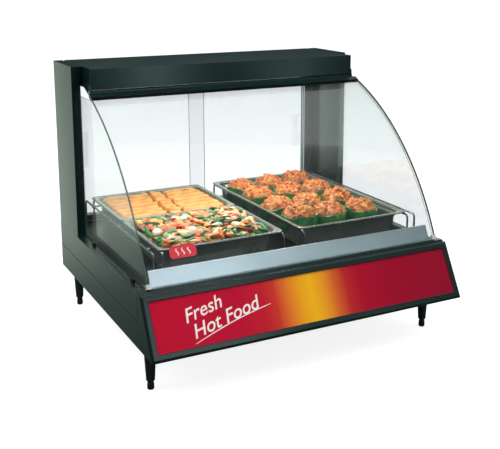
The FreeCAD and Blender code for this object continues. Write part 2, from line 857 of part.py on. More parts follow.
def foot(x, depth):
    neck_z = leg_low_z - 0.5
    profile = [(0, 0), (6.5, 0), (8.0, 2.0), (8.0, 12.0), (6.5, neck_z)]
    profile += [(stem_radius, neck_z), (stem_radius, stem_top_z), (0, stem_top_z)]
    return turned(profile, x, depth)


os.makedirs("parts", exist_ok=True)

save("base_pan", base_pan())
save_pair("lower_side_panel", lower_side_panel())
save_pair("upper_side_panel", upper_side_panel())
save("rear_panel", rear_panel())
save("front_panel", front_panel())
save("sign_frame", sign_frame())
save("sign_insert", sign_insert())
screw_places = [(x, z) for x in (-390, -195, 0, 390) for z in (120, 222)]
save("rear_screws", screw_heads(screw_places, 4.0, 2.2))

save("control_panel", control_panel())
for name, x in switch_places.items():
    save(name, rocker(x))
save("thermostat_knob", thermostat_knob())
save("thermostat_body", thermostat_body())
save("cord_gland", cord_gland())

save("deck_plate", deck_plate())
save("heater_blanket", heater_blanket())
save("insulation_board", insulation_board())
save("inner_strip", inner_strip())

save_pair("column", column())
save("hood_shell", hood_shell())
save("hood_end_caps", group([hood_end_cap(), mirrored(hood_end_cap())]))
save("hood_underplate", hood_underplate())
save("reflector", reflector())
save("infrared_element", infrared_element())
save("lamp_sockets", lamp_sockets())
save("display_lamps", display_lamps())
save("hinge_brackets", hinge_brackets())
save("hinge_rod", hinge_rod())

save("front_glass", front_glass())
save("glass_hinge_rail", glass_hinge_rail())
save("glass_bumpers", glass_bumpers())
save_pair("side_glass", side_glass())
save("side_glass_clips", side_glass_clips())

save("door_jambs", group([door_jamb(), mirrored(door_jamb())]))
save("lower_door_track", lower_door_track())
save("upper_door_track", upper_door_track())
for name, side, plane in (("left", -1, "outer"), ("right", 1, "inner")):
    save("rear_door_" + name, rear_door(side, groove_planes[plane]))
    save("door_pull_" + name, door_pull(side, groove_planes[plane]))

save("pan_rack_left", pan_rack(left_bay_x, -1))
save("pan_rack_right", pan_rack(right_bay_x, 1))
save("full_pan", pan(right_bay_x, pan_rear, pan_length))
save("rear_half_pan", pan(left_bay_x, pan_rear, pan_half_length))
front_pan_rear = pan_rear + pan_half_length + 1
save("front_half_pan", pan(left_bay_x, front_pan_rear, pan_half_length))
save("stuffed_peppers", stuffed_peppers())
save("baked_slabs", pan_filling(left_bay_x, pan_rear, pan_half_length, filling_top))
save("mixed_vegetables", pan_filling(left_bay_x, front_pan_rear, pan_half_length, filling_top))

corners = {"front_left": (-1, front_leg_depth), "front_right": (1, front_leg_depth)}
corners["rear_left"] = (-1, rear_leg_depth)
corners["rear_right"] = (1, rear_leg_depth)
for name, (side, depth) in corners.items():
    save("leg_" + name, leg(side * leg_x, depth))
    save("foot_" + name, foot(side * leg_x, depth))
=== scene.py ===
import bmesh
import bpy
import json
import math
import numpy as np
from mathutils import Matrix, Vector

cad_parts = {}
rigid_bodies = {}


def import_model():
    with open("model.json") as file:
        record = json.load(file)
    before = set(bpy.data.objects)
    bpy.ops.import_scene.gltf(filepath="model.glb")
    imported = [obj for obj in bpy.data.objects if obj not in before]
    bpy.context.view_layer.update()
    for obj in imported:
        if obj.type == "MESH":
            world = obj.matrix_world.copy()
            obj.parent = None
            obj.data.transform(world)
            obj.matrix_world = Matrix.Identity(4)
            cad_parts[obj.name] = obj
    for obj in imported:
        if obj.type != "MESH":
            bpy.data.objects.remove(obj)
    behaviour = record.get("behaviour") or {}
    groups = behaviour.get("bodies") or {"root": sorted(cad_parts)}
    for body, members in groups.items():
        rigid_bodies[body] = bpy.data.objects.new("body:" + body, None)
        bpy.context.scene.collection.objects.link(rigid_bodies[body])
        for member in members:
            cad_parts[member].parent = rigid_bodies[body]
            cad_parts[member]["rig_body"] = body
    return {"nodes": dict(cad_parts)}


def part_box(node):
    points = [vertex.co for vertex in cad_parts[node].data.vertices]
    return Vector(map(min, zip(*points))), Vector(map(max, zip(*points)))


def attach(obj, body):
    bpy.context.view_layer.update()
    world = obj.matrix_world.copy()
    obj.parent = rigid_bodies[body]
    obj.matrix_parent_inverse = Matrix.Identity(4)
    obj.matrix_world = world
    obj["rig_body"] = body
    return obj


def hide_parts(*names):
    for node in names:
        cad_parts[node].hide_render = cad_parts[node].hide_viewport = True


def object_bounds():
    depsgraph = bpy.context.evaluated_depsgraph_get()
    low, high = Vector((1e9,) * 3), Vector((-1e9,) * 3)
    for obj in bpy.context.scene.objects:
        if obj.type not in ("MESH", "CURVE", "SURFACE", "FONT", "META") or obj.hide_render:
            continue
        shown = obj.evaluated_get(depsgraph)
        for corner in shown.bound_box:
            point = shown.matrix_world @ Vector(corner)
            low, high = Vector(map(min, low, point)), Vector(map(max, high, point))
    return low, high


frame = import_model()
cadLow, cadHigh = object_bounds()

scene = bpy.context.scene
scene.view_settings.view_transform = "Standard"
nodes = frame["nodes"]
rearPlane = cadHigh.y  # depths are measured forward from this plane
mm = 0.001
print("frame loaded:", len(nodes), "nodes")


# camera and light

cameraView = {
    "place": (-0.9909, -1.9675, 0.9266),
    "turn": 27.557,
    "tip": 11.179,
    "lens": 62.55,
    "shift": (-0.0248, -0.17),
}

studio = {
    "backdrop": (1.0, 1.0, 1.0),
    "low": (0.03, 0.042, 0.04),  # the air's light at the horizon
    "high": (0.66, 0.72, 0.72),  # and overhead
    "rise": (0.15, 0.8),  # between these heights of view it goes from low to high
    "paper": (0.34, 0.34, 0.34),
    "paperGlow": 0.86,
    "bounce": (0.06, 0.07, 0.066),
    "glowReach": (-2.0, 8.0),
    # what the paper gives back to the object, along Y over glowReach: a black flag lies in front
    "glow": [(0.0, (0.015, 0.02, 0.02)), (0.19, (0.02, 0.03, 0.028)), (0.24, (0.13, 0.16, 0.14)),
             (0.30, (0.64, 0.78, 0.66)), (0.42, (0.66, 0.80, 0.68)), (0.80, (0.56, 0.70, 0.60))],
    "floorSize": 60.0,
}

# name: place, aimed at, width, height, watts, colour, seen in gloss
lamps = {
    "overhead_bank": ((-0.3, -0.2, 3.3), (-0.3, -0.19, 0.2), 6.4, 5.0, 200, (1.0, 0.99, 0.97), False),
    "left_bank": ((-3.2, 0.4, 1.9), (0, 0.1, 0.3), 1.8, 1.8, 30, (0.97, 1.0, 0.97), False),
    "back_bank": ((0.6, 3.0, 2.4), (0, 0.1, 0.4), 3.0, 1.8, 22, (1.0, 1.0, 1.0), False),
    "back_card": ((0.55, 0.82, 0.42), (0.3, 0.1, 0.42), 1.5, 0.52, 3.4, (0.85, 1.0, 0.80), True),
    "front_card": ((0.6, -3.0, 1.5), (-0.3, -0.2, 0.25), 1.3, 0.9, 7.0, (0.86, 0.95, 1.0), True),
    "right_bank": ((3.0, -1.2, 1.9), (0, 0.0, 0.4), 1.6, 1.8, 18, (1.0, 0.99, 0.97), False),
    "strip_near": ((0.77, -2.55, 0.45), (-0.24, 0.1, 0.65), 0.22, 1.5, 4.2, (0.66, 1.0, 0.92), True),
    "strip_far": ((1.62, -2.45, 0.45), (0.24, 0.1, 0.65), 0.18, 1.5, 3.0, (0.66, 1.0, 0.90), True),
    "case_glow": ((0.0, 0.15, 0.615), (0, 0.02, 0.3), 0.66, 0.05, 2.7, (1.0, 0.93, 0.82), True),
}


def addObject(name, data):
    made = bpy.data.objects.new(name, data)
    scene.collection.objects.link(made)
    return made


def makeCamera():
    data = bpy.data.cameras.new("camera")
    data.lens = cameraView["lens"]
    data.shift_x, data.shift_y = cameraView["shift"]
    data.clip_end = 60
    camera = addObject("camera", data)
    camera.location = cameraView["place"]
    camera.rotation_euler = (math.radians(90 - cameraView["tip"]), 0, -math.radians(cameraView["turn"]))
    scene.camera = camera


def makeLamps():
    for name, (place, target, width, height, watts, colour, inGloss) in lamps.items():
        data = bpy.data.lights.new(name, "AREA")
        data.shape = "RECTANGLE"
        data.size, data.size_y = width, height
        data.energy = watts
        data.color = colour
        lamp = addObject(name, data)
        lamp.visible_glossy = inGloss
        lamp.visible_camera = False
        lamp.location = place
        way = Vector(target) - Vector(place)
        lamp.rotation_euler = way.to_track_quat("-Z", "Y").to_euler()


makeCamera()
makeLamps()
print("camera and lamps placed")


# shader tools

class Sock:
    # a shader output that can be used in sums: every operator adds one Math node
    def __init__(self, finish, socket):
        self.finish, self.socket = finish, socket

    def __add__(self, other):
        return self.finish.maths("ADD", self, other)

    def __mul__(self, other):
        return self.finish.maths("MULTIPLY", self, other)

    __radd__ = __add__
    __rmul__ = __mul__


class Finish:
    # one material's nodes
    def __init__(self, name, tree=None):
        self.material = None
        if tree is None:
            self.material = bpy.data.materials.new(name)
            self.material.use_nodes = True
            tree = self.material.node_tree
        self.tree = tree
        self.tree.nodes.clear()

    def node(self, kind, settings=None, inputs=None, out=0):
        made = self.tree.nodes.new(kind)
        for key, value in (settings or {}).items():
            if key == "stops":
                self.setStops(made.color_ramp, value)
            else:
                setattr(made, key, value)
        for key, value in (inputs or {}).items():
            if isinstance(value, Sock):
                self.tree.links.new(value.socket, made.inputs[key])
            else:
                made.inputs[key].default_value = value
        return Sock(self, made.outputs[out]) if len(made.outputs) else None

    def setStops(self, ramp, stops):
        while len(ramp.elements) < len(stops):
            ramp.elements.new(0.5)
        for element, (place, colour) in zip(ramp.elements, stops):
            element.position = place
            element.color = (*colour, 1.0)

    def maths(self, kind, a, b):
        return self.node("ShaderNodeMath", {"operation": kind}, {0: a, 1: b})

    def coords(self, scale=(1, 1, 1), turn=(0, 0, 0)):
        place = self.node("ShaderNodeTexCoord", out="Object")
        return self.node("ShaderNodeMapping", {}, {0: place, 2: turn, 3: scale})

    def part(self, vector, axis):
        return self.node("ShaderNodeSeparateXYZ", {}, {0: vector}, out=axis)

    def noise(self, vector, scale, detail=3.0, rough=0.5):
        values = {"Vector": vector, "Scale": scale, "Detail": detail, "Roughness": rough}
        return self.node("ShaderNodeTexNoise", {}, values)

    def ramp(self, value, low, high, start=0.0, end=1.0):
        # start below low, end above high, a straight slope between them
        limits = {0: value, 1: low, 2: high, 3: start, 4: end}
        return self.node("ShaderNodeMapRange", {"clamp": True}, limits)

    def colours(self, value, stops):
        return self.node("ShaderNodeValToRGB", {"stops": stops}, {0: value})

    def blend(self, share, first, second, mode="MIX"):
        pair = [c if isinstance(c, Sock) else (*c, 1.0) for c in (first, second)]
        settings = {"data_type": "RGBA", "blend_type": mode}
        return self.node("ShaderNodeMix", settings, {0: share, 6: pair[0], 7: pair[1]}, out=2)

    def bump(self, height, distance, strength):
        values = {"Height": height, "Distance": distance, "Strength": strength}
        return self.node("ShaderNodeBump", {}, values)

    def principled(self, **values):
        names = {key.replace("_", " "): value for key, value in values.items()}
        for key in ("Base Color", "Emission Color"):
            if key in names and not isinstance(names[key], Sock):
                names[key] = (*names[key], 1.0)
        return self.node("ShaderNodeBsdfPrincipled", {}, names)

    def mixShader(self, share, first, second):
        return self.node("ShaderNodeMixShader", {}, {0: share, 1: first, 2: second})

    def done(self, shader):
        self.node("ShaderNodeOutputMaterial", {}, {0: shader})
        return self.material

    def coated(self, **values):
        return self.done(self.principled(**values))


def shade(red, green, blue):
    # a paint-chart colour, 0 to 255, as linear light
    share = np.array([red, green, blue]) / 255
    return tuple(np.where(share <= 0.04045, share / 12.92, ((share + 0.055) / 1.055) ** 2.4))


# stage

def makeWorld():
    world = bpy.data.worlds.new("studio_air")
    world.use_nodes = True
    scene.world = world
    air = Finish("air", world.node_tree)
    seen = air.node("ShaderNodeBackground", {}, {0: (*studio["backdrop"], 1), 1: 1.0})
    way = air.part(air.node("ShaderNodeTexCoord", out="Generated"), 2)
    sky = air.blend(air.ramp(way, *studio["rise"]), studio["low"], studio["high"])
    lit = air.node("ShaderNodeBackground", {}, {0: sky})
    straight = air.node("ShaderNodeLightPath", out="Is Camera Ray")
    air.node("ShaderNodeOutputWorld", {}, {0: air.mixShader(straight, lit, seen)})


def makeFloor():
    half = studio["floorSize"] / 2
    corners = [(x * half, y * half, 0) for x, y in ((-1, -1), (1, -1), (1, 1), (-1, 1))]
    mesh = bpy.data.meshes.new("floor")
    mesh.from_pydata(corners, [], [(0, 1, 2, 3)])
    paper = Finish("studio_paper")
    given = paper.colours(paper.ramp(paper.part(paper.coords(), 1), *studio["glowReach"]), studio["glow"])
    straight = paper.node("ShaderNodeLightPath", out="Is Camera Ray")
    matt = {"Roughness": 0.9, "Specular_IOR_Level": 0.0}
    other = paper.principled(Base_Color=studio["bounce"], Emission_Color=given, Emission_Strength=1.0, **matt)
    seen = paper.principled(
        Base_Color=studio["paper"], Emission_Color=(1, 1, 1), Emission_Strength=studio["paperGlow"], **matt)
    mesh.materials.append(paper.done(paper.mixShader(straight, other, seen)))
    floor = addObject("floor", mesh)


makeWorld()
makeFloor()


# finishes

def satinPaint():
    # powder-coated sheet: fine orange peel, faint wiping marks, pale specks
    paint = Finish("satin_paint")
    place = paint.coords()
    cloud = paint.noise(place, 7.0, 4.0)
    speck = paint.noise(place, 900.0, 2.0)
    wiped = paint.noise(paint.coords(scale=(3, 3, 26), turn=(0.3, 0.2, 0)), 3.0, 4.0)
    tone = paint.blend(cloud, shade(8, 25, 25), shade(12, 34, 33))
    tone = paint.blend(paint.ramp(speck, 0.62, 0.8, 0.0, 0.3), tone, shade(26, 54, 52))
    rough = 0.15 + 0.06 * cloud + 0.05 * wiped
    peel = paint.bump(paint.noise(place, 420.0, 2.0), 0.00015, 0.25)
    return paint.coated(
        Base_Color=tone, Roughness=rough, Normal=peel, Specular_IOR_Level=0.38)


def hardcoat():
    # dark hard-coated deck: fine rolled grain across, dull heat clouds
    deck = Finish("hardcoat_deck")
    place = deck.coords(scale=(3, 60, 60))
    grain = deck.noise(place, 20.0, 4.0)
    cloud = deck.noise(deck.coords(), 5.0, 3.0)
    tone = deck.blend(cloud, shade(10, 20, 20), shade(20, 32, 31))
    bump = deck.bump(grain, 0.0002, 0.25)
    return deck.coated(
        Base_Color=tone, Roughness=0.32 + 0.15 * grain, Metallic=0.35, Normal=bump)


def brushedSteel(name, dark, light, along, rough=0.27, streak=0.12):
    # stainless polished along one axis: long streaks and faint clouds
    steel = Finish(name)
    stretch = [260.0, 260.0, 260.0]
    stretch["XYZ".index(along)] = 3.0
    streaks = steel.noise(steel.coords(scale=stretch), 2.4, 5.0, 0.6)
    cloud = steel.noise(steel.coords(), 9.0, 3.0)
    dark, light = shade(*dark), shade(*light)
    tone = steel.blend(streaks, dark, light)
    tone = steel.blend(steel.ramp(cloud, 0.35, 0.75, 0.0, 0.3), tone, dark)
    bump = steel.bump(streaks, 0.00012, 0.35)
    return steel.coated(
        Base_Color=tone, Metallic=1.0, Roughness=rough + streak * streaks, Normal=bump)


def panSteel():
    # drawn stainless pan: soft clouds, fine wear scratches two ways, faint cooking film
    steel = Finish("pan_steel")
    place = steel.coords()
    cloud = steel.noise(place, 14.0, 4.0)
    first = steel.noise(steel.coords(scale=(8, 170, 170), turn=(0.1, 0.2, 0.5)), 3.0, 3.0)
    second = steel.noise(steel.coords(scale=(170, 9, 170), turn=(0.2, 0.1, -0.4)), 3.0, 3.0)
    scratches = steel.ramp(first, 0.62, 0.72) + steel.ramp(second, 0.64, 0.72)
    film = steel.ramp(steel.noise(place, 30.0, 5.0, 0.6), 0.5, 0.8)
    tone = steel.blend(cloud, shade(126, 136, 131), shade(158, 165, 158))
    tone = steel.blend(0.45 * film, tone, shade(122, 118, 102))
    bump = steel.bump(scratches + 0.6 * cloud, 0.00012, 0.3)
    return steel.coated(
        Base_Color=tone, Metallic=0.72, Roughness=0.16 + 0.12 * cloud + 0.1 * film, Normal=bump)


def grained(name, tone, other, rough, clouds, grain, depth, **more):
    # two close tones and a roughness in clouds, and a fine surface grain
    made = Finish(name)
    cloud = made.noise(made.coords(), *clouds)
    fine = made.noise(made.coords(), grain, 2.0)
    return made.coated(
        Base_Color=made.blend(cloud, shade(*tone), shade(*other)), Roughness=rough + 0.12 * cloud,
        Normal=made.bump(fine, depth, 0.3), **more)


def plainMetal(name, tone, other, rough, scale, metallic=1.0):
    # small metal parts
    return grained(name, tone, other, rough, (scale, 4.0), scale * 14, 0.0001, Metallic=metallic)


def mouldedPlastic(name, tone, other, rough=0.42):
    # moulded with spark-eroded grain
    return grained(name, tone, other, rough, (25.0, 3.0), 700.0, 0.0002)


def clearPane():
    # float glass face: a slight blue cast, more reflection at a glancing view
    glass = Finish("clear_pane")
    smear = glass.ramp(glass.noise(glass.coords(scale=(1, 1, 3)), 4.0, 4.0), 0.5, 0.85)
    through = glass.node("ShaderNodeBsdfTransparent", {}, {0: (0.930, 0.936, 0.944, 1)})
    film = glass.principled(
        Base_Color=shade(214, 222, 220), Roughness=0.03 + 0.10 * smear, Specular_IOR_Level=1.0)
    mirror = glass.node("ShaderNodeBsdfAnisotropic", {}, {"Color": (0.95, 0.97, 0.96, 1), "Roughness": 0.03})
    glance = glass.node("ShaderNodeFresnel", {}, {0: 1.42})
    dusty = glass.mixShader(0.004 + 0.008 * smear, through, film)
    return glass.done(glass.mixShader(glance * 0.24, dusty, mirror))


def plainFinish(name, dark, light, scale, rough, spread, detail=2.0, **more):
    # two close tones and a roughness that follow one fine noise
    plain = Finish(name)
    grain = plain.noise(plain.coords(), scale, detail)
    return plain.coated(
        Base_Color=plain.blend(grain, shade(*dark), shade(*light)), Roughness=rough + spread * grain, **more)


def paneEdge(name, dark, light, cover):
    # ground and polished glass edge, see-through by its cover
    return plainFinish(name, dark, light, 300.0, 0.18, 0.2, 3.0, Alpha=cover)


def clearMoulding(name, dark, light, scale, rough, cover):
    # clear plastic, seen mostly by its edges
    return plainFinish(name, dark, light, scale, rough, rough, Alpha=cover, IOR=1.49)


def lampGlass():
    # frosted tubular lamp, lit warm
    lamp = Finish("lamp_glass")
    frost = lamp.noise(lamp.coords(), 180.0, 3.0)
    glow = lamp.blend(frost, (1.0, 0.78, 0.48), (1.0, 0.86, 0.62))
    return lamp.coated(
        Base_Color=shade(246, 238, 220), Roughness=0.3 + 0.1 * frost,
        Emission_Color=glow, Emission_Strength=2.2)


finishes = {
    "black_paint": satinPaint(),
    "deck": hardcoat(),
    "stainless": brushedSteel("brushed_stainless", (186, 196, 202), (232, 238, 243), "X"),
    "screw_steel": plainMetal("screw_steel", (150, 154, 156), (188, 192, 194), 0.26, 220.0),
    "aluminium": brushedSteel("drawn_aluminium", (196, 205, 208), (228, 234, 237), "Z", 0.3, 0.1),
    "track": brushedSteel("drawn_track", (196, 205, 208), (228, 234, 237), "X", 0.3, 0.1),
    "polished_reflector": plainMetal(
        "polished_reflector", (232, 234, 236), (246, 247, 248), 0.06, 12.0),
    "element_sheath": plainMetal("element_sheath", (74, 62, 54), (108, 88, 74), 0.42, 60.0, 0.8),
    "rack_wire": plainMetal("rack_wire", (120, 130, 128), (158, 166, 164), 0.2, 90.0),
    "pan": panSteel(),
    "clear_glass": clearPane(),
    "glass_edge": paneEdge("pane_edge", (12, 28, 25), (40, 58, 53), 0.98),
    "side_edge": paneEdge("side_pane_edge", (70, 92, 86), (120, 140, 134), 0.38),
    "clear_plastic": clearMoulding(
        "clear_plastic", (205, 214, 210), (228, 232, 226), 60.0, 0.12, 0.55),
    "door_pull": clearMoulding("pull_acrylic", (222, 230, 230), (238, 242, 242), 80.0, 0.06, 0.08),
    "lamp_glass": lampGlass(),
    "black_plastic": mouldedPlastic("black_plastic", (14, 17, 17), (24, 28, 27)),
    "heater_mat": mouldedPlastic("heater_mat", (150, 72, 38), (168, 88, 50), 0.6),
    "insulation": mouldedPlastic("insulation", (206, 196, 160), (226, 218, 188), 0.85),
    "letter_paint": plainFinish("letter_paint", (232, 212, 210), (246, 236, 232), 500.0, 0.4, 0.1),
    "badge_red": plainFinish("badge_red", (196, 18, 44), (216, 34, 58), 500.0, 0.25, 0.1,
                             Coat_Weight=0.4),
}
print("finishes made:", len(finishes))


# mesh tools

def spot(x, depth, z):
    # millimetres to the scene's metres: x across, depth forward from the rear plane, z up
    return np.stack(np.broadcast_arrays(x * mm, rearPlane - depth * mm, z * mm), -1)


def mixed(share, first, second):
    return np.array(first) * (1 - share) + np.array(second) * share


def gridFaces(rows, columns, closed=False):
    # quads between rows and columns; a closed grid joins its last column to its first
    r = np.arange(rows - 1)[:, None]
    c = np.arange(columns if closed else columns - 1)[None, :]
    n = (c + 1) % columns
    low, high = r * columns, (r + 1) * columns
    return np.stack([low + c, low + n, high + n, high + c], -1).reshape(-1, 4)


def cappedFaces(rows, columns):
    # rings of points joined one to the next, and a face over each end
    ring = np.arange(columns)
    return [*gridFaces(rows, columns, True), ring, ring[::-1] + (rows - 1) * columns]


def reworked(mesh, weld=False, flatten=False, outward=False):
    work = bmesh.new()
    work.from_mesh(mesh)
    if weld:
        bmesh.ops.remove_doubles(work, verts=work.verts, dist=0.00001)
    if flatten:
        bmesh.ops.dissolve_limit(work, angle_limit=0.01, verts=work.verts, edges=work.edges)
    if outward:
        bmesh.ops.recalc_face_normals(work, faces=work.faces)
    work.to_mesh(mesh)
    work.free()


def addPiece(name, mesh, body, slot):
    piece = addObject(name, mesh)
    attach(piece, body)
    return piece


def makePiece(name, points, faces, materials, body, slot, faceSlots=None, crease=40.0):
    # a closed mesh in the object's own place, its faces turned outwards
    mesh = bpy.data.meshes.new(name)
    mesh.from_pydata(np.reshape(points, (-1, 3)).tolist(), [], [list(map(int, f)) for f in faces])
    for material in materials:
        mesh.materials.append(material)
    if faceSlots is not None:
        mesh.polygons.foreach_set("material_index", np.asarray(faceSlots, np.int32))
    reworked(mesh, outward=True)
    mesh.shade_smooth()
    mesh.set_sharp_from_angle(angle=math.radians(crease))
    return addPiece(name, mesh, body, slot)


def skinPair(front, back):
    # two equal grids as the faces of a plate, with walls round their four sides
    # returns the points, the faces and 0 for a face or 1 for a wall
    rows, columns = front.shape[:2]
    count = rows * columns
    skin = gridFaces(rows, columns)
    index = np.arange(count).reshape(rows, columns)
    rim = np.concatenate([index[0, :-1], index[:-1, -1], index[-1, :0:-1], index[:0:-1, 0]])
    after = np.roll(rim, -1)
    walls = np.stack([rim, after, after + count, rim + count], -1)
    faces = np.concatenate([skin, skin[:, ::-1] + count, walls])
    kinds = np.concatenate([np.zeros(2 * len(skin)), np.ones(len(walls))])
    return np.concatenate([front.reshape(-1, 3), back.reshape(-1, 3)]), faces, kinds


sharpAngle = math.radians(35)


def bevelled(piece, width):
    edge = piece.modifiers.new("edge", "BEVEL")
    edge.width = width
    edge.segments = 2
    edge.limit_method = "ANGLE"
    edge.angle_limit = sharpAngle
    edge.harden_normals = True


def waves(points, length, seed):
    # smooth random heights, mostly from -1 to 1: a mean of sine waves of many directions
    count, gain = 9, 2.2
    draw = np.random.default_rng(seed)
    ways = draw.normal(size=(count, points.shape[-1]))
    pace = (2 * math.pi / length) * draw.uniform(0.6, 1.5, (count, 1))
    ways *= pace / np.linalg.norm(ways, axis=1, keepdims=True)
    phase = draw.uniform(0, 2 * math.pi, count)
    return np.sin(points @ ways.T + phase).mean(-1) * gain


def tintPoints(piece, colours):
    # colours per point, read by the materials as "tint"
    mesh = piece.data
    layer = mesh.attributes.new("tint", "FLOAT_COLOR", "POINT")
    full = np.concatenate([colours, np.ones((len(colours), 1))], 1)
    layer.data.foreach_set("color", full.astype(np.float32).ravel())


def softened(node, width, slot):
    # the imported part's own shape, merged and given rolled edges
    source = nodes[node]
    mesh = source.data.copy()
    mesh.name = node + "_skin"
    reworked(mesh, weld=True, flatten=True)
    mesh.materials.clear()
    mesh.materials.append(finishes[slot])
    if mesh.attributes.get("custom_normal"):
        mesh.attributes.remove(mesh.attributes["custom_normal"])
    mesh.shade_smooth()
    mesh.set_sharp_from_angle(angle=sharpAngle)
    piece = addPiece(mesh.name, mesh, source["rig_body"], slot)
    bevelled(piece, width)
    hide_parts(node)


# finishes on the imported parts


def sided(*names):
    return [name + side for name in names for side in ("_left", "_right")]


groups = {
    "black_paint": [
        "base_pan", "rear_panel", "front_panel", "sign_frame", "control_panel", "hood_shell", "hood_end_caps",
        "hood_underplate", "hinge_brackets", "glass_hinge_rail", "side_glass_clips",
        *sided("lower_side_panel", "upper_side_panel", "column")],
    "deck": ["deck_plate"],
    "stainless": ["inner_strip"],
    "screw_steel": ["rear_screws", "hinge_rod"],
    "aluminium": ["door_jambs"],
    "track": ["lower_door_track", "upper_door_track"],
    "polished_reflector": ["reflector"],
    "element_sheath": ["infrared_element"],
    "rack_wire": sided("pan_rack"),
    "clear_plastic": ["glass_bumpers"],
    "door_pull": sided("door_pull"),
    "lamp_glass": ["display_lamps"],
    "black_plastic": [
        "heat_switch", "lamp_switch", "thermostat_knob", "thermostat_body", "cord_gland", "lamp_sockets",
        *sided("leg_front", "leg_rear", "foot_front", "foot_rear")],
    "heater_mat": ["heater_blanket"],
    "insulation": ["insulation_board"],
}

for finishName, members in groups.items():
    for member in members:
        for place in nodes[member].material_slots:
            place.material = finishes[finishName]

sheetEdges = {  # the roll's width in millimetres
    "sign_frame": 1.6, "hood_shell": 0.9, "hood_end_caps": 0.5,
    **dict.fromkeys(sided("column"), 0.6),
    **dict.fromkeys(sided("upper_side_panel", "lower_side_panel"), 0.5),
}
for member, roll in sheetEdges.items():
    softened(member, roll * mm, "black_paint")
print("packed parts finished")


# glass

frontGlass = {
    "centreDepth": 20.6, "centreZ": -8.0, "radius": 671.0, "thickness": 6.0,
    "half": 390.0, "startDepth": 258.5, "endZ": 245.0, "steps": 64, "edgeBand": 1.1,
}
sideGlass = {
    "outside": 389.5, "thickness": 5.0, "rear": 174.0, "low": 231.0, "step": 243.5, "stepDepth": 605.0,
    "top": 606.0, "inset": 8.0, "steps": 48, "least": 0.4,
}
paneFinishes = [finishes["clear_glass"], finishes["glass_edge"]]


def arcPoint(radius, angle):
    # depth and height on the front glass's curve, for an angle forward from straight up
    return frontGlass["centreDepth"] + radius * np.sin(angle), frontGlass["centreZ"] + radius * np.cos(angle)


def makeFrontGlass():
    # two arcs about one centre, carried along X
    middle = frontGlass["radius"] - frontGlass["thickness"] / 2
    start = math.asin((frontGlass["startDepth"] - frontGlass["centreDepth"]) / middle)
    end = math.acos((frontGlass["endZ"] - frontGlass["centreZ"]) / middle)
    angle = np.linspace(start, end, frontGlass["steps"])[:, None]
    half, rim = frontGlass["half"], frontGlass["edgeBand"]
    across = np.concatenate([[-half], np.linspace(rim - half, half - rim, 9), [half]])[None, :]
    radii = (frontGlass["radius"], frontGlass["radius"] - frontGlass["thickness"])
    points, faces, kinds = skinPair(*(spot(across, *arcPoint(radius, angle)) for radius in radii))
    columns = across.shape[1] - 1
    skinCount = columns * (frontGlass["steps"] - 1)
    place = np.arange(2 * skinCount) % columns
    kinds[:2 * skinCount][(place == 0) | (place == columns - 1)] = 1  # the edge's depth shows beside it
    pane = makePiece("curved_front_pane", points, faces, paneFinishes, "glass_front", "clear_glass", kinds)
    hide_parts("front_glass")


def makeSideGlass(side, node):
    # a flat pane: its top follows the smaller of the level top and the front glass's arc
    radius = frontGlass["radius"] - sideGlass["inset"]
    stepRise = sideGlass["step"] - frontGlass["centreZ"]
    tip = frontGlass["centreDepth"] + math.sqrt(radius ** 2 - stepRise ** 2)
    ease = np.sin(np.linspace(0, math.pi / 2, sideGlass["steps"]))
    depth = np.sort(np.append(sideGlass["rear"] + (tip - sideGlass["rear"]) * ease, sideGlass["stepDepth"]))
    arc = frontGlass["centreZ"] + np.sqrt(radius ** 2 - (depth - frontGlass["centreDepth"]) ** 2)
    top = np.minimum(sideGlass["top"], arc)
    low = np.where(depth < sideGlass["stepDepth"], sideGlass["low"], sideGlass["step"])
    top = np.maximum(top, low + sideGlass["least"])
    skins = []
    for x in (sideGlass["outside"], sideGlass["outside"] - sideGlass["thickness"]):
        skins.append(np.stack([spot(side * x, depth, z) for z in (low, top)], 1))
    points, faces, kinds = skinPair(*skins)
    sideFinishes = [finishes["clear_glass"], finishes["side_edge"]]
    pane = makePiece(node + "_pane", points, faces, sideFinishes, "case", "clear_glass", kinds)
    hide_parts(node)


def makeDoorPane(node, body):
    x, y, z = np.array(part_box(node)).T
    grids = (np.stack(np.broadcast_arrays(x[:, None], depth, z[None, :]), -1) for depth in y)
    points, faces, kinds = skinPair(*grids)
    pane = makePiece(node + "_pane", points, faces, paneFinishes, body, "clear_glass", kinds)
    bevelled(pane, 0.6 * mm)
    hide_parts(node)


makeFrontGlass()
makeSideGlass(-1, "side_glass_left")
makeSideGlass(1, "side_glass_right")
makeDoorPane("rear_door_left", "left_door")
makeDoorPane("rear_door_right", "right_door")
print("glass made")


# serving pans

# the wall's middle line, from the lip's lower edge over the rim and down to the floor:
# inset from the rim's outer edge and drop from the rim's top, in millimetres
panSection = [
    (0.7, 3.2), (0.5, 1.6), (0.9, 0.8), (1.9, 0.5), (5.0, 0.9), (9.0, 1.2), (11.0, 1.6), (12.2, 2.8),
    (12.7, 5.0), (13.1, 9.0), (13.6, 10.6), (16.6, 12.6), (17.3, 14.6), (20.4, 52.0), (21.6, 57.5),
    (24.4, 61.4), (29.0, 63.2), (40.0, 63.5), (80.0, 63.5)]
# cornersAt: the insets at which the corner radii are corners
panShape = {"wall": 0.9, "cornersAt": (0, 12, 22, 80), "corners": (12.0, 26.0, 24.0, 12.0), "cornerSteps": 9}


def panBox(node):
    # the pan's middle, its half sizes and its rim's height, in millimetres
    low, high = (np.array(corner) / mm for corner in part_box(node))
    return (low[:2] + high[:2]) / 2, (high[:2] - low[:2]) / 2, high[2]


def sideLine(line, offset):
    # an open line of points moved sideways by offset
    step = np.gradient(line, axis=0)
    normal = np.stack([-step[:, 1], step[:, 0]], -1)
    return line + offset * normal / np.linalg.norm(normal, axis=1, keepdims=True)


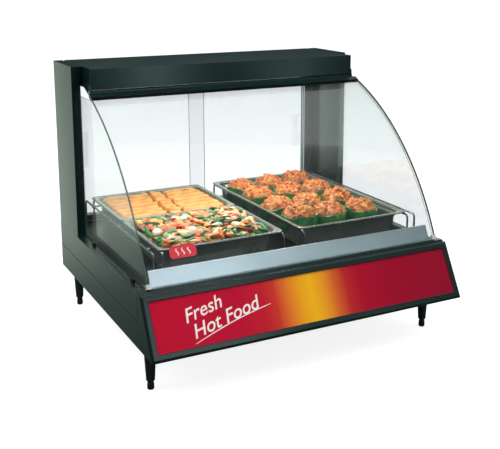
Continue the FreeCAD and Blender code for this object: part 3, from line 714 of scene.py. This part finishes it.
def roundedRing(halfWidth, halfLength, corner, steps):
    # points round a rectangle with round corners, anticlockwise, for arrays of sizes
    angle = np.linspace(0, math.pi / 2, steps)
    rings = []
    for quarter, (sx, sy) in enumerate(((1, 1), (-1, 1), (-1, -1), (1, -1))):
        turn = angle + quarter * math.pi / 2
        x = sx * (halfWidth - corner)[:, None] + corner[:, None] * np.cos(turn)
        y = sy * (halfLength - corner)[:, None] + corner[:, None] * np.sin(turn)
        rings.append(np.stack([x, y], -1))
    return np.concatenate(rings, 1)


def makePan(node, body, name):
    # the wall section carried round a rounded rectangle, both skins in one closed shell
    middle, half, rim = panBox(node)
    line = np.array(panSection)
    thick = panShape["wall"] / 2
    section = np.concatenate([sideLine(line, thick)[::-1], sideLine(line, -thick)])
    inset, drop = section[:, 0], section[:, 1]
    corner = np.interp(inset, panShape["cornersAt"], panShape["corners"])
    ring = roundedRing(half[0] - inset, half[1] - inset, corner, panShape["cornerSteps"])
    z = np.broadcast_to(rim - drop[:, None], ring.shape[:2])
    points = np.concatenate([ring + middle, z[..., None]], -1) * mm
    faces = cappedFaces(*points.shape[:2])
    pan = makePiece(name, points, faces, [finishes["pan"]], body, "stainless", crease=60.0)
    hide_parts(node)


makePan("full_pan", "full_pan_set", "drawn_full_pan")
makePan("rear_half_pan", "rear_pan_set", "drawn_rear_pan")
makePan("front_half_pan", "front_pan_set", "drawn_front_pan")
print("pans made")


# food

def foodFinish(name, rough, bumpSize, bumpDepth, coat, mottle, paintedSheen):
    # colour from the piece's own tint, broken by fine mottling, with a painted sheen that lightens the bump's
    # high points, under a thin oily coat
    food = Finish(name)
    place = food.coords()
    fine = food.noise(place, bumpSize, 4.0, 0.6)
    broad = food.noise(place, bumpSize * 0.2, 3.0)
    tint = food.node("ShaderNodeAttribute", {"attribute_name": "tint"}, out="Color")
    tone = food.blend(mottle * broad, tint, (0.5, 0.3, 0.14), "MULTIPLY")
    # painted sheen: the bump's high points are lightened towards a pale warm highlight colour
    tone = food.blend(food.ramp(fine, 0.5, 0.85, 0.0, paintedSheen), tone, (0.9, 0.7, 0.42), "SOFT_LIGHT")
    return food.coated(
        Base_Color=tone, Roughness=rough + 0.2 * fine, Coat_Weight=coat, Coat_Roughness=0.15,
        Normal=food.bump(fine, bumpDepth, 0.7))


def turned(first, second, angle):
    return first * np.cos(angle) - second * np.sin(angle), first * np.sin(angle) + second * np.cos(angle)


def blunted(value, power):
    return np.sign(value) * np.abs(value) ** power


def tumbled(centre, size, bend, turns, steps):
    # many small pieces at once: an oval section along a bent line, drawn in at both ends, then rolled,
    # tilted and turned; size is length, width, thickness
    # returns the points, the faces and how far up each point lies on its section
    along = np.linspace(-1, 1, steps[0])[None, :, None]
    turn = np.linspace(0, 2 * math.pi, steps[1], endpoint=False)[None, None, :]
    length, width, thick = (part[:, None, None] for part in size.T)
    yaw, tilt, roll = (part[:, None, None] for part in turns.T)
    taper = (1 - np.abs(along) ** 4 * 0.93) ** 0.5
    lump = 1 + 0.10 * np.sin(3 * turn + 5 * yaw) + 0.07 * np.sin(4 * along + 9 * tilt)
    upward = blunted(np.sin(turn), 0.75)
    a = along * length / 2 + 0 * turn
    b = blunted(np.cos(turn), 0.75) * taper * lump * width / 2
    c = upward * taper * lump * thick / 2
    b = b + bend[:, None, None] * length * along ** 2 * 0.5
    b, c = turned(b, c, roll)
    a, c = turned(a, c, tilt)
    points = np.stack([*turned(a, b, yaw), c], -1) + centre[:, None, None, :]
    ring = cappedFaces(*steps)
    shift = np.arange(len(centre))[:, None, None] * steps[0] * steps[1]
    walls, caps = (np.array(part)[None] + shift for part in (ring[:-2], ring[-2:]))
    faces = [*walls.reshape(-1, 4), *caps.reshape(-1, steps[1])]
    return points, faces, upward * np.ones_like(points[..., 0])


def tumbleTurns(draw, count, tilt, roll):
    # any way about the vertical, with a spread of tilts and rolls
    yaw = draw.uniform(0, math.pi, count)
    return np.stack([yaw, draw.normal(0, tilt, count), draw.normal(0, roll, count)], 1)


stuffed = {
    "columns": 3, "rows": 4, "firstX": 97.0, "firstDepth": 110.0, "stepX": 94.0, "stepDepth": 112.0,
    "width": 47.5, "length": 50.0, "bottom": 238.5, "edge": 299.0, "wall": 4.5, "crown": 23.0, "crumbs": 340,
    "rings": 26, "around": 80, "domeRings": 40, "bits": 60,
    # the filling's place inside the shell, and how far and how wide each crumb lifts it
    "fillInset": 2.0, "fillDrop": 3.0, "crumbReach": 5.0, "crumbRise": 2.8, "scatter": 1.6, "heart": 30.0,
    "footDrop": 24.0, "footShare": 0.84, "seed": 12,
}
pepperTurn = np.linspace(0, 2 * math.pi, stuffed["around"], endpoint=False)[None, :]
pepperRise = np.linspace(0, 1, stuffed["rings"])[:, None]
crumbColours = np.array([shade(*colour) for colour in (
    (224, 136, 66), (232, 152, 74), (210, 112, 54), (238, 170, 86), (196, 92, 46),
    (228, 144, 84), (196, 34, 30), (246, 182, 52), (134, 70, 36), (80, 88, 34))])
crumbShares = np.array([0.21, 0.19, 0.15, 0.12, 0.1, 0.09, 0.05, 0.05, 0.03, 0.01])


def pepperShell(oval, swell, belly, lip, edge):
    # outer and inner skins of the cup, one after the other so that they meet at the lip
    turn, rise = pepperTurn, pepperRise
    skins = []
    for inward in (0.0, stuffed["wall"]):
        x = (oval[0] * swell * belly - inward) * np.cos(turn)
        y = (oval[1] * swell * belly - inward) * np.sin(turn)
        z = stuffed["bottom"] + inward + (edge - stuffed["bottom"] - inward) * rise + lip * rise ** 3
        skins.append(np.stack(np.broadcast_arrays(x, y, z), -1))
    return np.concatenate([skins[0], skins[1][::-1]])


def pepperDome(draw, oval, wide, lip, edge, seed):
    # rings draw in as the dome rises, and each crumb lifts it near its seed; the colour is painted darker
    # away from each crumb's middle, painted shade in the crevices between crumbs
    turn = pepperTurn
    spread = np.linspace(1.0, 0.02, stuffed["domeRings"])[:, None]
    spill = 0.97 + 0.04 * np.sin(5 * turn + seed) + 0.03 * np.sin(9 * turn + 2 * seed)
    x = (oval[0] * wide - stuffed["fillInset"]) * spill * spread * np.cos(turn)
    y = (oval[1] * wide - stuffed["fillInset"]) * spill * spread * np.sin(turn)
    crown = stuffed["crown"] * draw.uniform(0.85, 1.12)
    z = edge - stuffed["fillDrop"] + lip * spread ** 3 + crown * (1 - spread ** 2.8) ** 0.8
    dome = np.stack(np.broadcast_arrays(x, y, z), -1).reshape(-1, 3)
    count = stuffed["crumbs"]
    seeds = dome[draw.integers(0, len(dome), count)] + draw.normal(0, stuffed["scatter"], (count, 3))
    gap = np.linalg.norm(dome[:, None, :] - seeds[None, :, :], axis=-1)
    which, gap = gap.argmin(1), gap.min(1)
    lump = np.clip(1 - (gap / stuffed["crumbReach"]) ** 2, 0, 1)
    away = dome - np.array([0, 0, edge - stuffed["heart"]])
    away /= np.linalg.norm(away, axis=1, keepdims=True)
    rise = stuffed["crumbRise"] * lump * draw.uniform(0.2, 1.0, count)[which]
    height = rise - 1.0 + 3.0 * waves(dome, 24.0, 70 + seed)
    inside = np.repeat(np.clip((1 - spread[:, 0]) * 6, 0, 1), stuffed["around"])
    colours = crumbColours[draw.choice(len(crumbColours), count, p=crumbShares)][which]
    # painted shade and highlight: crumb colours fall to 0.48 in the crevices between lumps and rise slightly
    # on their tops
    return dome + away * (height * inside)[:, None], colours * (0.48 + 0.58 * lump[:, None]), away


def addShell(parts, rings, tints):
    # parts holds the points, faces and tints of the closed shells so far
    base = sum(len(points) for points in parts[0])
    parts[0].append(rings.reshape(-1, 3))
    parts[1].extend(face + base for face in cappedFaces(*rings.shape[:2]))
    parts[2].append(tints)


def makePeppers():
    # an oval cup that swells in lobes, and a crumbly dome over its mouth with loose bits
    shells, fillings, bitPlaces = ([], [], []), ([], [], []), []
    around, domeRings = stuffed["around"], stuffed["domeRings"]
    turn, rise = pepperTurn, pepperRise
    draw = np.random.default_rng(stuffed["seed"])
    for number in range(stuffed["columns"] * stuffed["rows"]):
        row, column = divmod(number, stuffed["columns"])
        centre = np.array([stuffed["firstX"] + stuffed["stepX"] * column + draw.uniform(-2, 2),
                           -(stuffed["firstDepth"] + stuffed["stepDepth"] * row + draw.uniform(-5, 5)), 0])
        lobes, phase = draw.integers(3, 5), draw.uniform(0, 2 * math.pi)
        wide = stuffed["width"] * draw.uniform(0.96, 1.0)
        oval = np.array([wide, stuffed["length"] * draw.uniform(0.94, 1.06)])
        edge = stuffed["edge"] + draw.uniform(-3, 3)
        crease = np.abs(np.cos(lobes / 2 * turn + phase)) ** 0.7
        swell = 1.03 - 0.09 * (1 - crease) * (0.5 + 0.5 * rise) + 0.02 * np.cos(2 * turn + 2 * phase)
        belly = 0.48 + 0.56 * np.sin(np.clip(rise * 1.3, 0, 1) * math.pi / 2) ** 0.8
        belly = belly * (1 - 0.07 * rise ** 6)
        lip = 2.8 * np.cos(lobes * turn + phase + 0.6) + 1.8 * np.cos(turn + 3 * phase)
        cup = pepperShell(oval, swell, belly, lip, edge) + centre
        mottled = waves(cup.reshape(-1, 3), 26.0, 40 + number)[:, None] * 0.5 + 0.5
        addShell(shells, cup, mixed(mottled, shade(10, 84, 44), shade(34, 118, 50)))

        dome, colours, away = pepperDome(draw, oval, swell[-1] * belly[-1], lip, edge, number)
        picked = draw.choice(len(dome) - 6 * around, stuffed["bits"], replace=False)
        bitPlaces.append(dome[picked] + away[picked] + centre)
        skirt = (dome + centre).reshape(domeRings, around, 3)
        inwards = np.array([stuffed["footShare"], stuffed["footShare"], 0])
        foot = centre + (skirt[:1] - centre) * inwards + np.array([0, 0, edge - stuffed["footDrop"]])
        addShell(fillings, np.concatenate([foot, skirt]), np.concatenate([colours[:around], colours]))

    places = np.concatenate(bitPlaces)
    count = len(places)
    size = np.stack([draw.uniform(4, 9, count), draw.uniform(3, 6, count), draw.uniform(2.5, 5, count)], 1)
    turns = tumbleTurns(draw, count, 0.5, 0.8)
    bits, bitFaces, _ = tumbled(places, size, draw.uniform(-0.4, 0.4, count), turns, (5, 7))
    bitTints = crumbColours[draw.choice(len(crumbColours), count, p=crumbShares)]
    bitTints = np.repeat(bitTints * draw.uniform(0.8, 1.2, (count, 1)), bits[0, ..., 0].size, axis=0)

    skin = foodFinish("pepper_skin", 0.1, 60.0, 0.0004, 0.7, 0.2, 0.1)
    crumbs = foodFinish("pepper_filling", 0.4, 420.0, 0.0012, 0.3, 0.3, 0.4)
    loose = ([bits.reshape(-1, 3)], bitFaces, [bitTints])
    for name, (points, faces, tints), finish in (
            ("pepper_shells", shells, skin), ("pepper_fillings", fillings, crumbs),
            ("pepper_crumbs", loose, crumbs)):
        placed = np.concatenate(points) * mm + np.array([0, rearPlane, 0])
        piece = makePiece(name, placed, faces, [finish], "full_pan_set", "pepper_food", crease=70.0)
        tintPoints(piece, np.concatenate(tints))
        if name == "pepper_shells":
            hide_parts("stuffed_peppers")


fillDrop = 19.0  # the food keeps inside the wall as it is just below the pan's step
heapCorner, heapGap = 25.0, 0.6


def panInside(node, drop):
    # the pan's inner half sizes and middle at a drop below its rim, in millimetres
    middle, half, rim = panBox(node)
    insets, drops = np.array(panSection[7:-2]).T  # the stretch that only falls
    return middle, half - np.interp(drop, drops, insets) - panShape["wall"], rim


def roundCorners(x, y, half, corner):
    # bends the plate's square corners into quarter discs
    over = np.maximum(np.stack([np.abs(x) - half[0] + corner, np.abs(y) - half[1] + corner], -1), 0)
    length = np.linalg.norm(over, axis=-1)
    share = np.where(length > 0, over.max(-1) / np.maximum(length, 1e-9), 1.0)
    change = over * (share - 1)[..., None]
    return x + np.sign(x) * change[..., 0], y + np.sign(y) * change[..., 1]


def heapPlate(node, low, height, cells):
    # heights over the pan's inside, closed below: height takes x, y and the share to the edge
    middle, half, rim = panInside(node, fillDrop)
    foot = panInside(node, low)[1] - heapGap
    u, v = np.meshgrid(np.linspace(-1, 1, cells[0]), np.linspace(-1, 1, cells[1]), indexing="ij")
    x, y = roundCorners(half[0] * u, half[1] * v, half, heapCorner)
    footX, footY = roundCorners(foot[0] * u, foot[1] * v, foot, heapCorner)
    z = rim + height(x, y, np.maximum(np.abs(u), np.abs(v)))
    top = np.stack([middle[0] + x, middle[1] + y, z], -1)
    under = np.stack([middle[0] + footX, middle[1] + footY, np.full_like(x, rim - low)], -1)
    return top, under


slabs = {"cells": (210, 170), "low": 52.0, "cuts": ((-14.0, 0.10), (26.0, 0.10)), "rows": 7, "cutWidth": 3.6,
         "cutDepth": 12.0}


def makeSlabs():
    # pillowed rows and two deep cuts across them, browned in waves, with painted shade darkening the seams
    # and cuts
    middle, half, _ = panInside("rear_half_pan", fillDrop)
    pitch = 2 * half[1] / slabs["rows"]

    def cutGap(x, y):
        # distance to the nearest cut, each stepping from row to row
        row = (y + half[1]) / pitch
        jog = 3.4 * np.sin(2.4 * np.floor(row) + 1.0) + 1.6 * np.sin(y / 5.0)
        return np.min([np.abs(x - start - lean * y - jog) for start, lean in slabs["cuts"]], axis=0)

    def rowPlace(x, y):
        # each block between the cuts has its rows shifted by its own share
        block = sum((x > start + lean * y).astype(float) for start, lean in slabs["cuts"])
        return (y + half[1]) / pitch + 0.37 * block + 0.03 * np.sin(x / 17), block

    def height(x, y, edge):
        row, block = rowPlace(x, y)
        pillow = np.abs(np.sin(row * math.pi)) ** 0.5
        flat = np.stack([x, y], -1)
        cut = np.exp(-(cutGap(x, y) / slabs["cutWidth"]) ** 2)
        rise = -6.4 + 5.2 * pillow + 1.6 * waves(flat, 60.0, 5) + 0.7 * waves(flat, 14.0, 6)
        rise = rise + 1.4 * (block == 1)  # the middle block stands higher
        return rise - slabs["cutDepth"] * cut - 7.0 * np.clip((edge - 0.95) * 20, 0, 1) ** 2

    top, under = heapPlate("rear_half_pan", slabs["low"], height, slabs["cells"])
    points, faces, _ = skinPair(top, under)
    x, y = top[..., 0] - middle[0], top[..., 1] - middle[1]
    row, block = rowPlace(x, y)
    flat = np.stack([x, y], -1)
    # painted shade: the seams between rows and the two cuts are darkened brown, as the shade in these creases
    seamShade = 1 - np.abs(np.sin(row * math.pi)) ** 0.4
    brownAndCreaseShade = np.clip(0.16 + 0.22 * waves(flat, 46.0, 9) + 0.16 * waves(flat, 9.0, 10) + 0.8 * seamShade, 0, 1)
    brownAndCreaseShade = np.maximum(brownAndCreaseShade, np.exp(-(cutGap(x, y) / 4.0) ** 2) * 0.95)[..., None]
    tone = mixed(brownAndCreaseShade, shade(238, 178, 98), shade(176, 98, 36))
    tone = tone * (1 - 0.06 * (np.floor(row) % 2)[..., None])
    slab = foodFinish("slab_crust", 0.5, 330.0, 0.0006, 0.1, 0.15, 0.3)
    piece = makePiece("golden_slabs", points * mm, faces, [slab], "rear_pan_set", "slab_food", crease=75.0)
    # the under skin takes the top's tint at 0.7: painted shade on the side that faces down
    tintPoints(piece, np.concatenate([tone.reshape(-1, 3), tone.reshape(-1, 3) * 0.7]))
    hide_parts("baked_slabs")


# kind: share of pieces, length, width, thickness (mm), bend, colour, lighter colour (mixed in partly at
# random and partly more on each piece's upper side, a painted top light)
vegetableKinds = {
    "green_strip": (0.28, (42, 66), (13, 19), (6, 9), 0.34, (10, 78, 36), (48, 130, 58)),
    "carrot": (0.22, (38, 62), (10, 15), (6, 10), 0.12, (230, 100, 34), (246, 150, 62)),
    "red_strip": (0.13, (30, 46), (14, 20), (6, 10), 0.26, (164, 8, 30), (206, 32, 34)),
    "cream_strip": (0.16, (34, 56), (12, 18), (6, 9), 0.18, (226, 172, 108), (240, 202, 146)),
    "pale_chunk": (0.06, (24, 32), (18, 24), (12, 16), 0.08, (220, 192, 162), (240, 222, 202)),
    "yellow_chunk": (0.11, (26, 42), (11, 16), (6, 10), 0.14, (244, 166, 50), (250, 200, 90)),
}
vegetables = {"pieces": 330, "steps": (11, 12), "low": 50.0, "cells": (90, 76), "seed": 37}


def heapHeight(x, y, half):
    # the heap's top: a low crown with waves, falling near the pan's wall
    flat = np.stack([x, y], -1)
    edge = np.maximum(np.abs(x) / half[0], np.abs(y) / half[1])
    return -5.5 + 5.0 * (1 - edge ** 4) + 2.0 * waves(flat, 55.0, 3)


def makeVegetables():
    # strips and chunks of every kind on the heap, over a bed that fills the pan
    middle, half, rim = panInside("front_half_pan", fillDrop)
    draw = np.random.default_rng(vegetables["seed"])
    count = vegetables["pieces"]
    kinds = list(vegetableKinds.values())
    shares = np.array([k[0] for k in kinds])
    kind = draw.choice(len(kinds), count, p=shares / shares.sum())

    def sizes(field):
        limits = np.array([k[field] for k in kinds])[kind]
        return draw.uniform(limits[:, 0], limits[:, 1])

    size = np.stack([sizes(1), sizes(2), sizes(3)], 1)
    bend = np.array([k[4] for k in kinds])[kind] * draw.uniform(-1, 1, count)
    where = draw.uniform(-1, 1, (count, 2))
    where = blunted(where, 0.85) * (half - 7.0)
    turns = tumbleTurns(draw, count, 0.16, 0.5)
    level = rim + heapHeight(*where.T, half) + size[:, 2] * 0.15 + draw.uniform(-2.5, 4.0, count)
    centre = np.stack([where[:, 0], where[:, 1], level], 1)
    points, faces, upward = tumbled(centre, size, bend, turns, vegetables["steps"])
    edge = half + 1.0 - np.clip(rim - points[..., 2], 0, 20)[..., None] * 0.1
    points[..., :2] = np.clip(points[..., :2], -edge, edge)
    points[..., 0], points[..., 1] = roundCorners(points[..., 0], points[..., 1], half + 1.0, heapCorner)
    points[..., :2] += middle

    colour, other = (np.array([shade(*k[field]) for k in kinds])[kind] for field in (5, 6))
    # each piece takes the lighter colour partly at random and partly more on its upper side: painted top
    # light
    litTopAndRandomShare = draw.uniform(0, 1, (count, 1, 1, 1)) * 0.55 + 0.45 * (upward[..., None] * 0.5 + 0.5)
    tint = (colour[:, None, None, :] * (1 - litTopAndRandomShare) + other[:, None, None, :] * litTopAndRandomShare).reshape(-1, 3)
    wet = foodFinish("vegetable_skin", 0.24, 260.0, 0.0005, 0.5, 0.15, 0.2)
    home = ([wet], "front_pan_set", "vegetable_food")
    piece = makePiece("vegetable_mix", points * mm, faces, *home, crease=60.0)
    tintPoints(piece, tint)

    def bed(x, y, edge):
        return heapHeight(x, y, half) - 4.0 + 1.6 * waves(np.stack([x, y], -1), 12.0, 8)

    top, under = heapPlate("front_half_pan", vegetables["low"], bed, vegetables["cells"])
    points, faces, _ = skinPair(top, under)
    spots = np.clip(0.5 + 0.9 * waves(top[..., :2], 10.0, 14), 0, 1)[..., None]
    tone = mixed(spots, shade(222, 166, 104), shade(120, 110, 48))
    bedPiece = makePiece("vegetable_bed", points * mm, faces, *home, crease=75.0)
    tintPoints(bedPiece, np.concatenate([tone.reshape(-1, 3)] * 2))
    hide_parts("mixed_vegetables")


makePeppers()
makeSlabs()
makeVegetables()
print("food made")


# sign

signFace = {"width": 826.0, "border": 17.0, "top": (656.3, 241.5), "bottom": (725.0, 112.3), "sunk": 3.0}
# share of the width and the paint there
signStops = [(place, shade(*paint)) for place, paint in (
    (0.00, (190, 4, 44)), (0.26, (184, 8, 45)), (0.34, (190, 26, 44)), (0.38, (198, 52, 42)),
    (0.42, (219, 112, 40)), (0.46, (232, 154, 28)), (0.50, (238, 170, 28)), (0.54, (228, 146, 34)),
    (0.58, (206, 92, 40)), (0.62, (178, 38, 40)), (0.67, (165, 14, 41)), (0.80, (150, 10, 39)),
    (1.00, (140, 14, 40)))]
signWords = {
    "lines": (("Fresh", (74.0, 60.0), 43.0), ("Hot Food", (88.0, 96.0), 43.0)), "rise": 13.5, "shear": 0.32,
    "stroke": ((88.0, 106.0), (284.0, 52.0)), "strokeWidth": 2.4, "strokeSag": 5.0, "strokeSteps": 24,
}
inkLift, inkSink = 0.25, 0.05  # how far print stands above its face and starts below it


def signPoint(across, down, lift):
    # millimetres across from the frame's left edge, down the slanted face and out of it
    top, bottom = np.array(signFace["top"]), np.array(signFace["bottom"])
    way = (bottom - top) / np.linalg.norm(bottom - top)
    out = np.array([-way[1], way[0]])
    face = top + way * np.asarray(down)[..., None] + out * np.asarray(lift)[..., None]
    x = np.asarray(across) - signFace["width"] / 2
    return spot(x, face[..., 0], face[..., 1])


def signPrint():
    # printed film behind gloss: the colour runs across the sign, with a faint print grain
    film = Finish("sign_print")
    place = film.coords()
    share = film.ramp(film.part(place, 0), -0.396, 0.396)
    soft = share + 0.006 * film.noise(place, 30.0)
    tone = film.colours(soft, signStops)
    grain = film.noise(place, 800.0, 2.0)
    tone = film.blend(0.08 * grain, tone, (0.02, 0.0, 0.004))
    return film.coated(
        Base_Color=tone, Roughness=0.36 + 0.08 * grain, Coat_Weight=0.04, Coat_Roughness=0.12,
        Specular_IOR_Level=0.05, Normal=film.bump(grain, 0.00005, 0.2))


def panelFromFlat(flat, origin, angle):
    # letters turned by angle on the sign's face, about their lower left corner at origin
    across, up = turned(flat[:, 0], flat[:, 1], math.radians(angle))
    border = signFace["border"]
    return signPoint(origin[0] + across + border, origin[1] - up + border, flat[:, 2] - signFace["sunk"])


def makeBar(name, edgePoint, face, body):
    # a thin printed bar: edgePoint gives one long edge, for a side of -1 or 1 and a lift
    lifts = (face + inkLift, face - inkSink)
    skins = [np.stack([edgePoint(side, lift) for side in (-1, 1)], 1) for lift in lifts]
    points, faces, _ = skinPair(*skins)
    makePiece(name, points, faces, [finishes["letter_paint"]], body, "sign_graphic")


def makeLettering():
    for number, (words, origin, size) in enumerate(signWords["lines"]):
        data = bpy.data.curves.new("words", "FONT")
        data.body = words
        data.size = size
        data.shear = signWords["shear"]
        data.extrude = 0.2
        data.offset = 0.3
        data.resolution_u = 4
        holder = addObject("words", data)
        bpy.context.view_layer.update()
        mesh = bpy.data.meshes.new_from_object(holder)
        bpy.data.objects.remove(holder)
        flat = np.zeros(len(mesh.vertices) * 3)
        mesh.vertices.foreach_get("co", flat)
        placed = panelFromFlat(flat.reshape(-1, 3), origin, signWords["rise"])
        mesh.vertices.foreach_set("co", placed.ravel())
        reworked(mesh, weld=True, outward=True)
        mesh.materials.clear()
        mesh.materials.append(finishes["letter_paint"])
        addPiece("sign_words_" + str(number + 1), mesh, "case", "sign_graphic")


def makeStroke():
    # the stroke under the words: a bar that sags and swells in the middle
    share = np.linspace(0, 1, signWords["strokeSteps"])
    start, end = np.array(signWords["stroke"])
    line = start + (end - start) * share[:, None] + signFace["border"]
    line[:, 1] -= signWords["strokeSag"] * np.sin(share * math.pi)
    half = signWords["strokeWidth"] * (0.35 + 0.65 * np.sin(share * math.pi) ** 0.5) / 2

    def edgePoint(side, lift):
        return signPoint(line[:, 0], line[:, 1] + side * half, lift)

    makeBar("sign_stroke", edgePoint, -signFace["sunk"], "case")


for place in nodes["sign_insert"].material_slots:
    place.material = signPrint()
makeLettering()
makeStroke()
print("sign made")


# badge on the front glass

badge = {
    "centre": (-294.0, 71.0), "half": (32.0, 14.0), "corner": 9.0, "thick": 0.5, "gap": 0.02, "rings": 6,
    "waves": (-14.0, 0.0, 14.0), "waveSway": 2.4, "waveRise": 8.5, "waveWidth": 1.5, "waveSteps": 20,
}


def glassFace(across, up, lift):
    # up is measured along the glass from its lower edge
    radius = frontGlass["radius"] + lift
    end = math.acos((frontGlass["endZ"] - frontGlass["centreZ"]) / frontGlass["radius"])
    angle = end - up / frontGlass["radius"]
    return spot(across, *arcPoint(radius, angle))


def makeBadge():
    # a rounded plate that follows the glass, with three small steam waves
    centre, half = badge["centre"], badge["half"]
    shrink = np.linspace(0, min(half) - 0.5, badge["rings"])
    corner = np.maximum(badge["corner"] - shrink, 0.4)
    ring = roundedRing(half[0] - shrink, half[1] - shrink, corner, 8) + centre
    face, back = (glassFace(ring[..., 0], ring[..., 1], lift) for lift in (badge["thick"], badge["gap"]))
    whole = np.concatenate([face[::-1], back])
    faces = cappedFaces(*whole.shape[:2])
    red = [finishes["badge_red"]]
    makePiece("glass_badge", whole, faces, red, "glass_front", "sign_graphic", crease=50.0)
    share = np.linspace(0, 1, badge["waveSteps"])
    up = centre[1] + badge["waveRise"] * (2 * share - 1)
    width = badge["waveWidth"] * np.sin(share * math.pi) ** 0.4 + 0.1
    for number, offset in enumerate(badge["waves"]):
        across = centre[0] + offset + badge["waveSway"] * np.sin(share * 2 * math.pi)

        def edgePoint(side, lift):
            return glassFace(across + side * width, up, lift)

        makeBar("badge_wave_" + str(number + 1), edgePoint, badge["thick"], "glass_front")


makeBadge()
print("badge made")
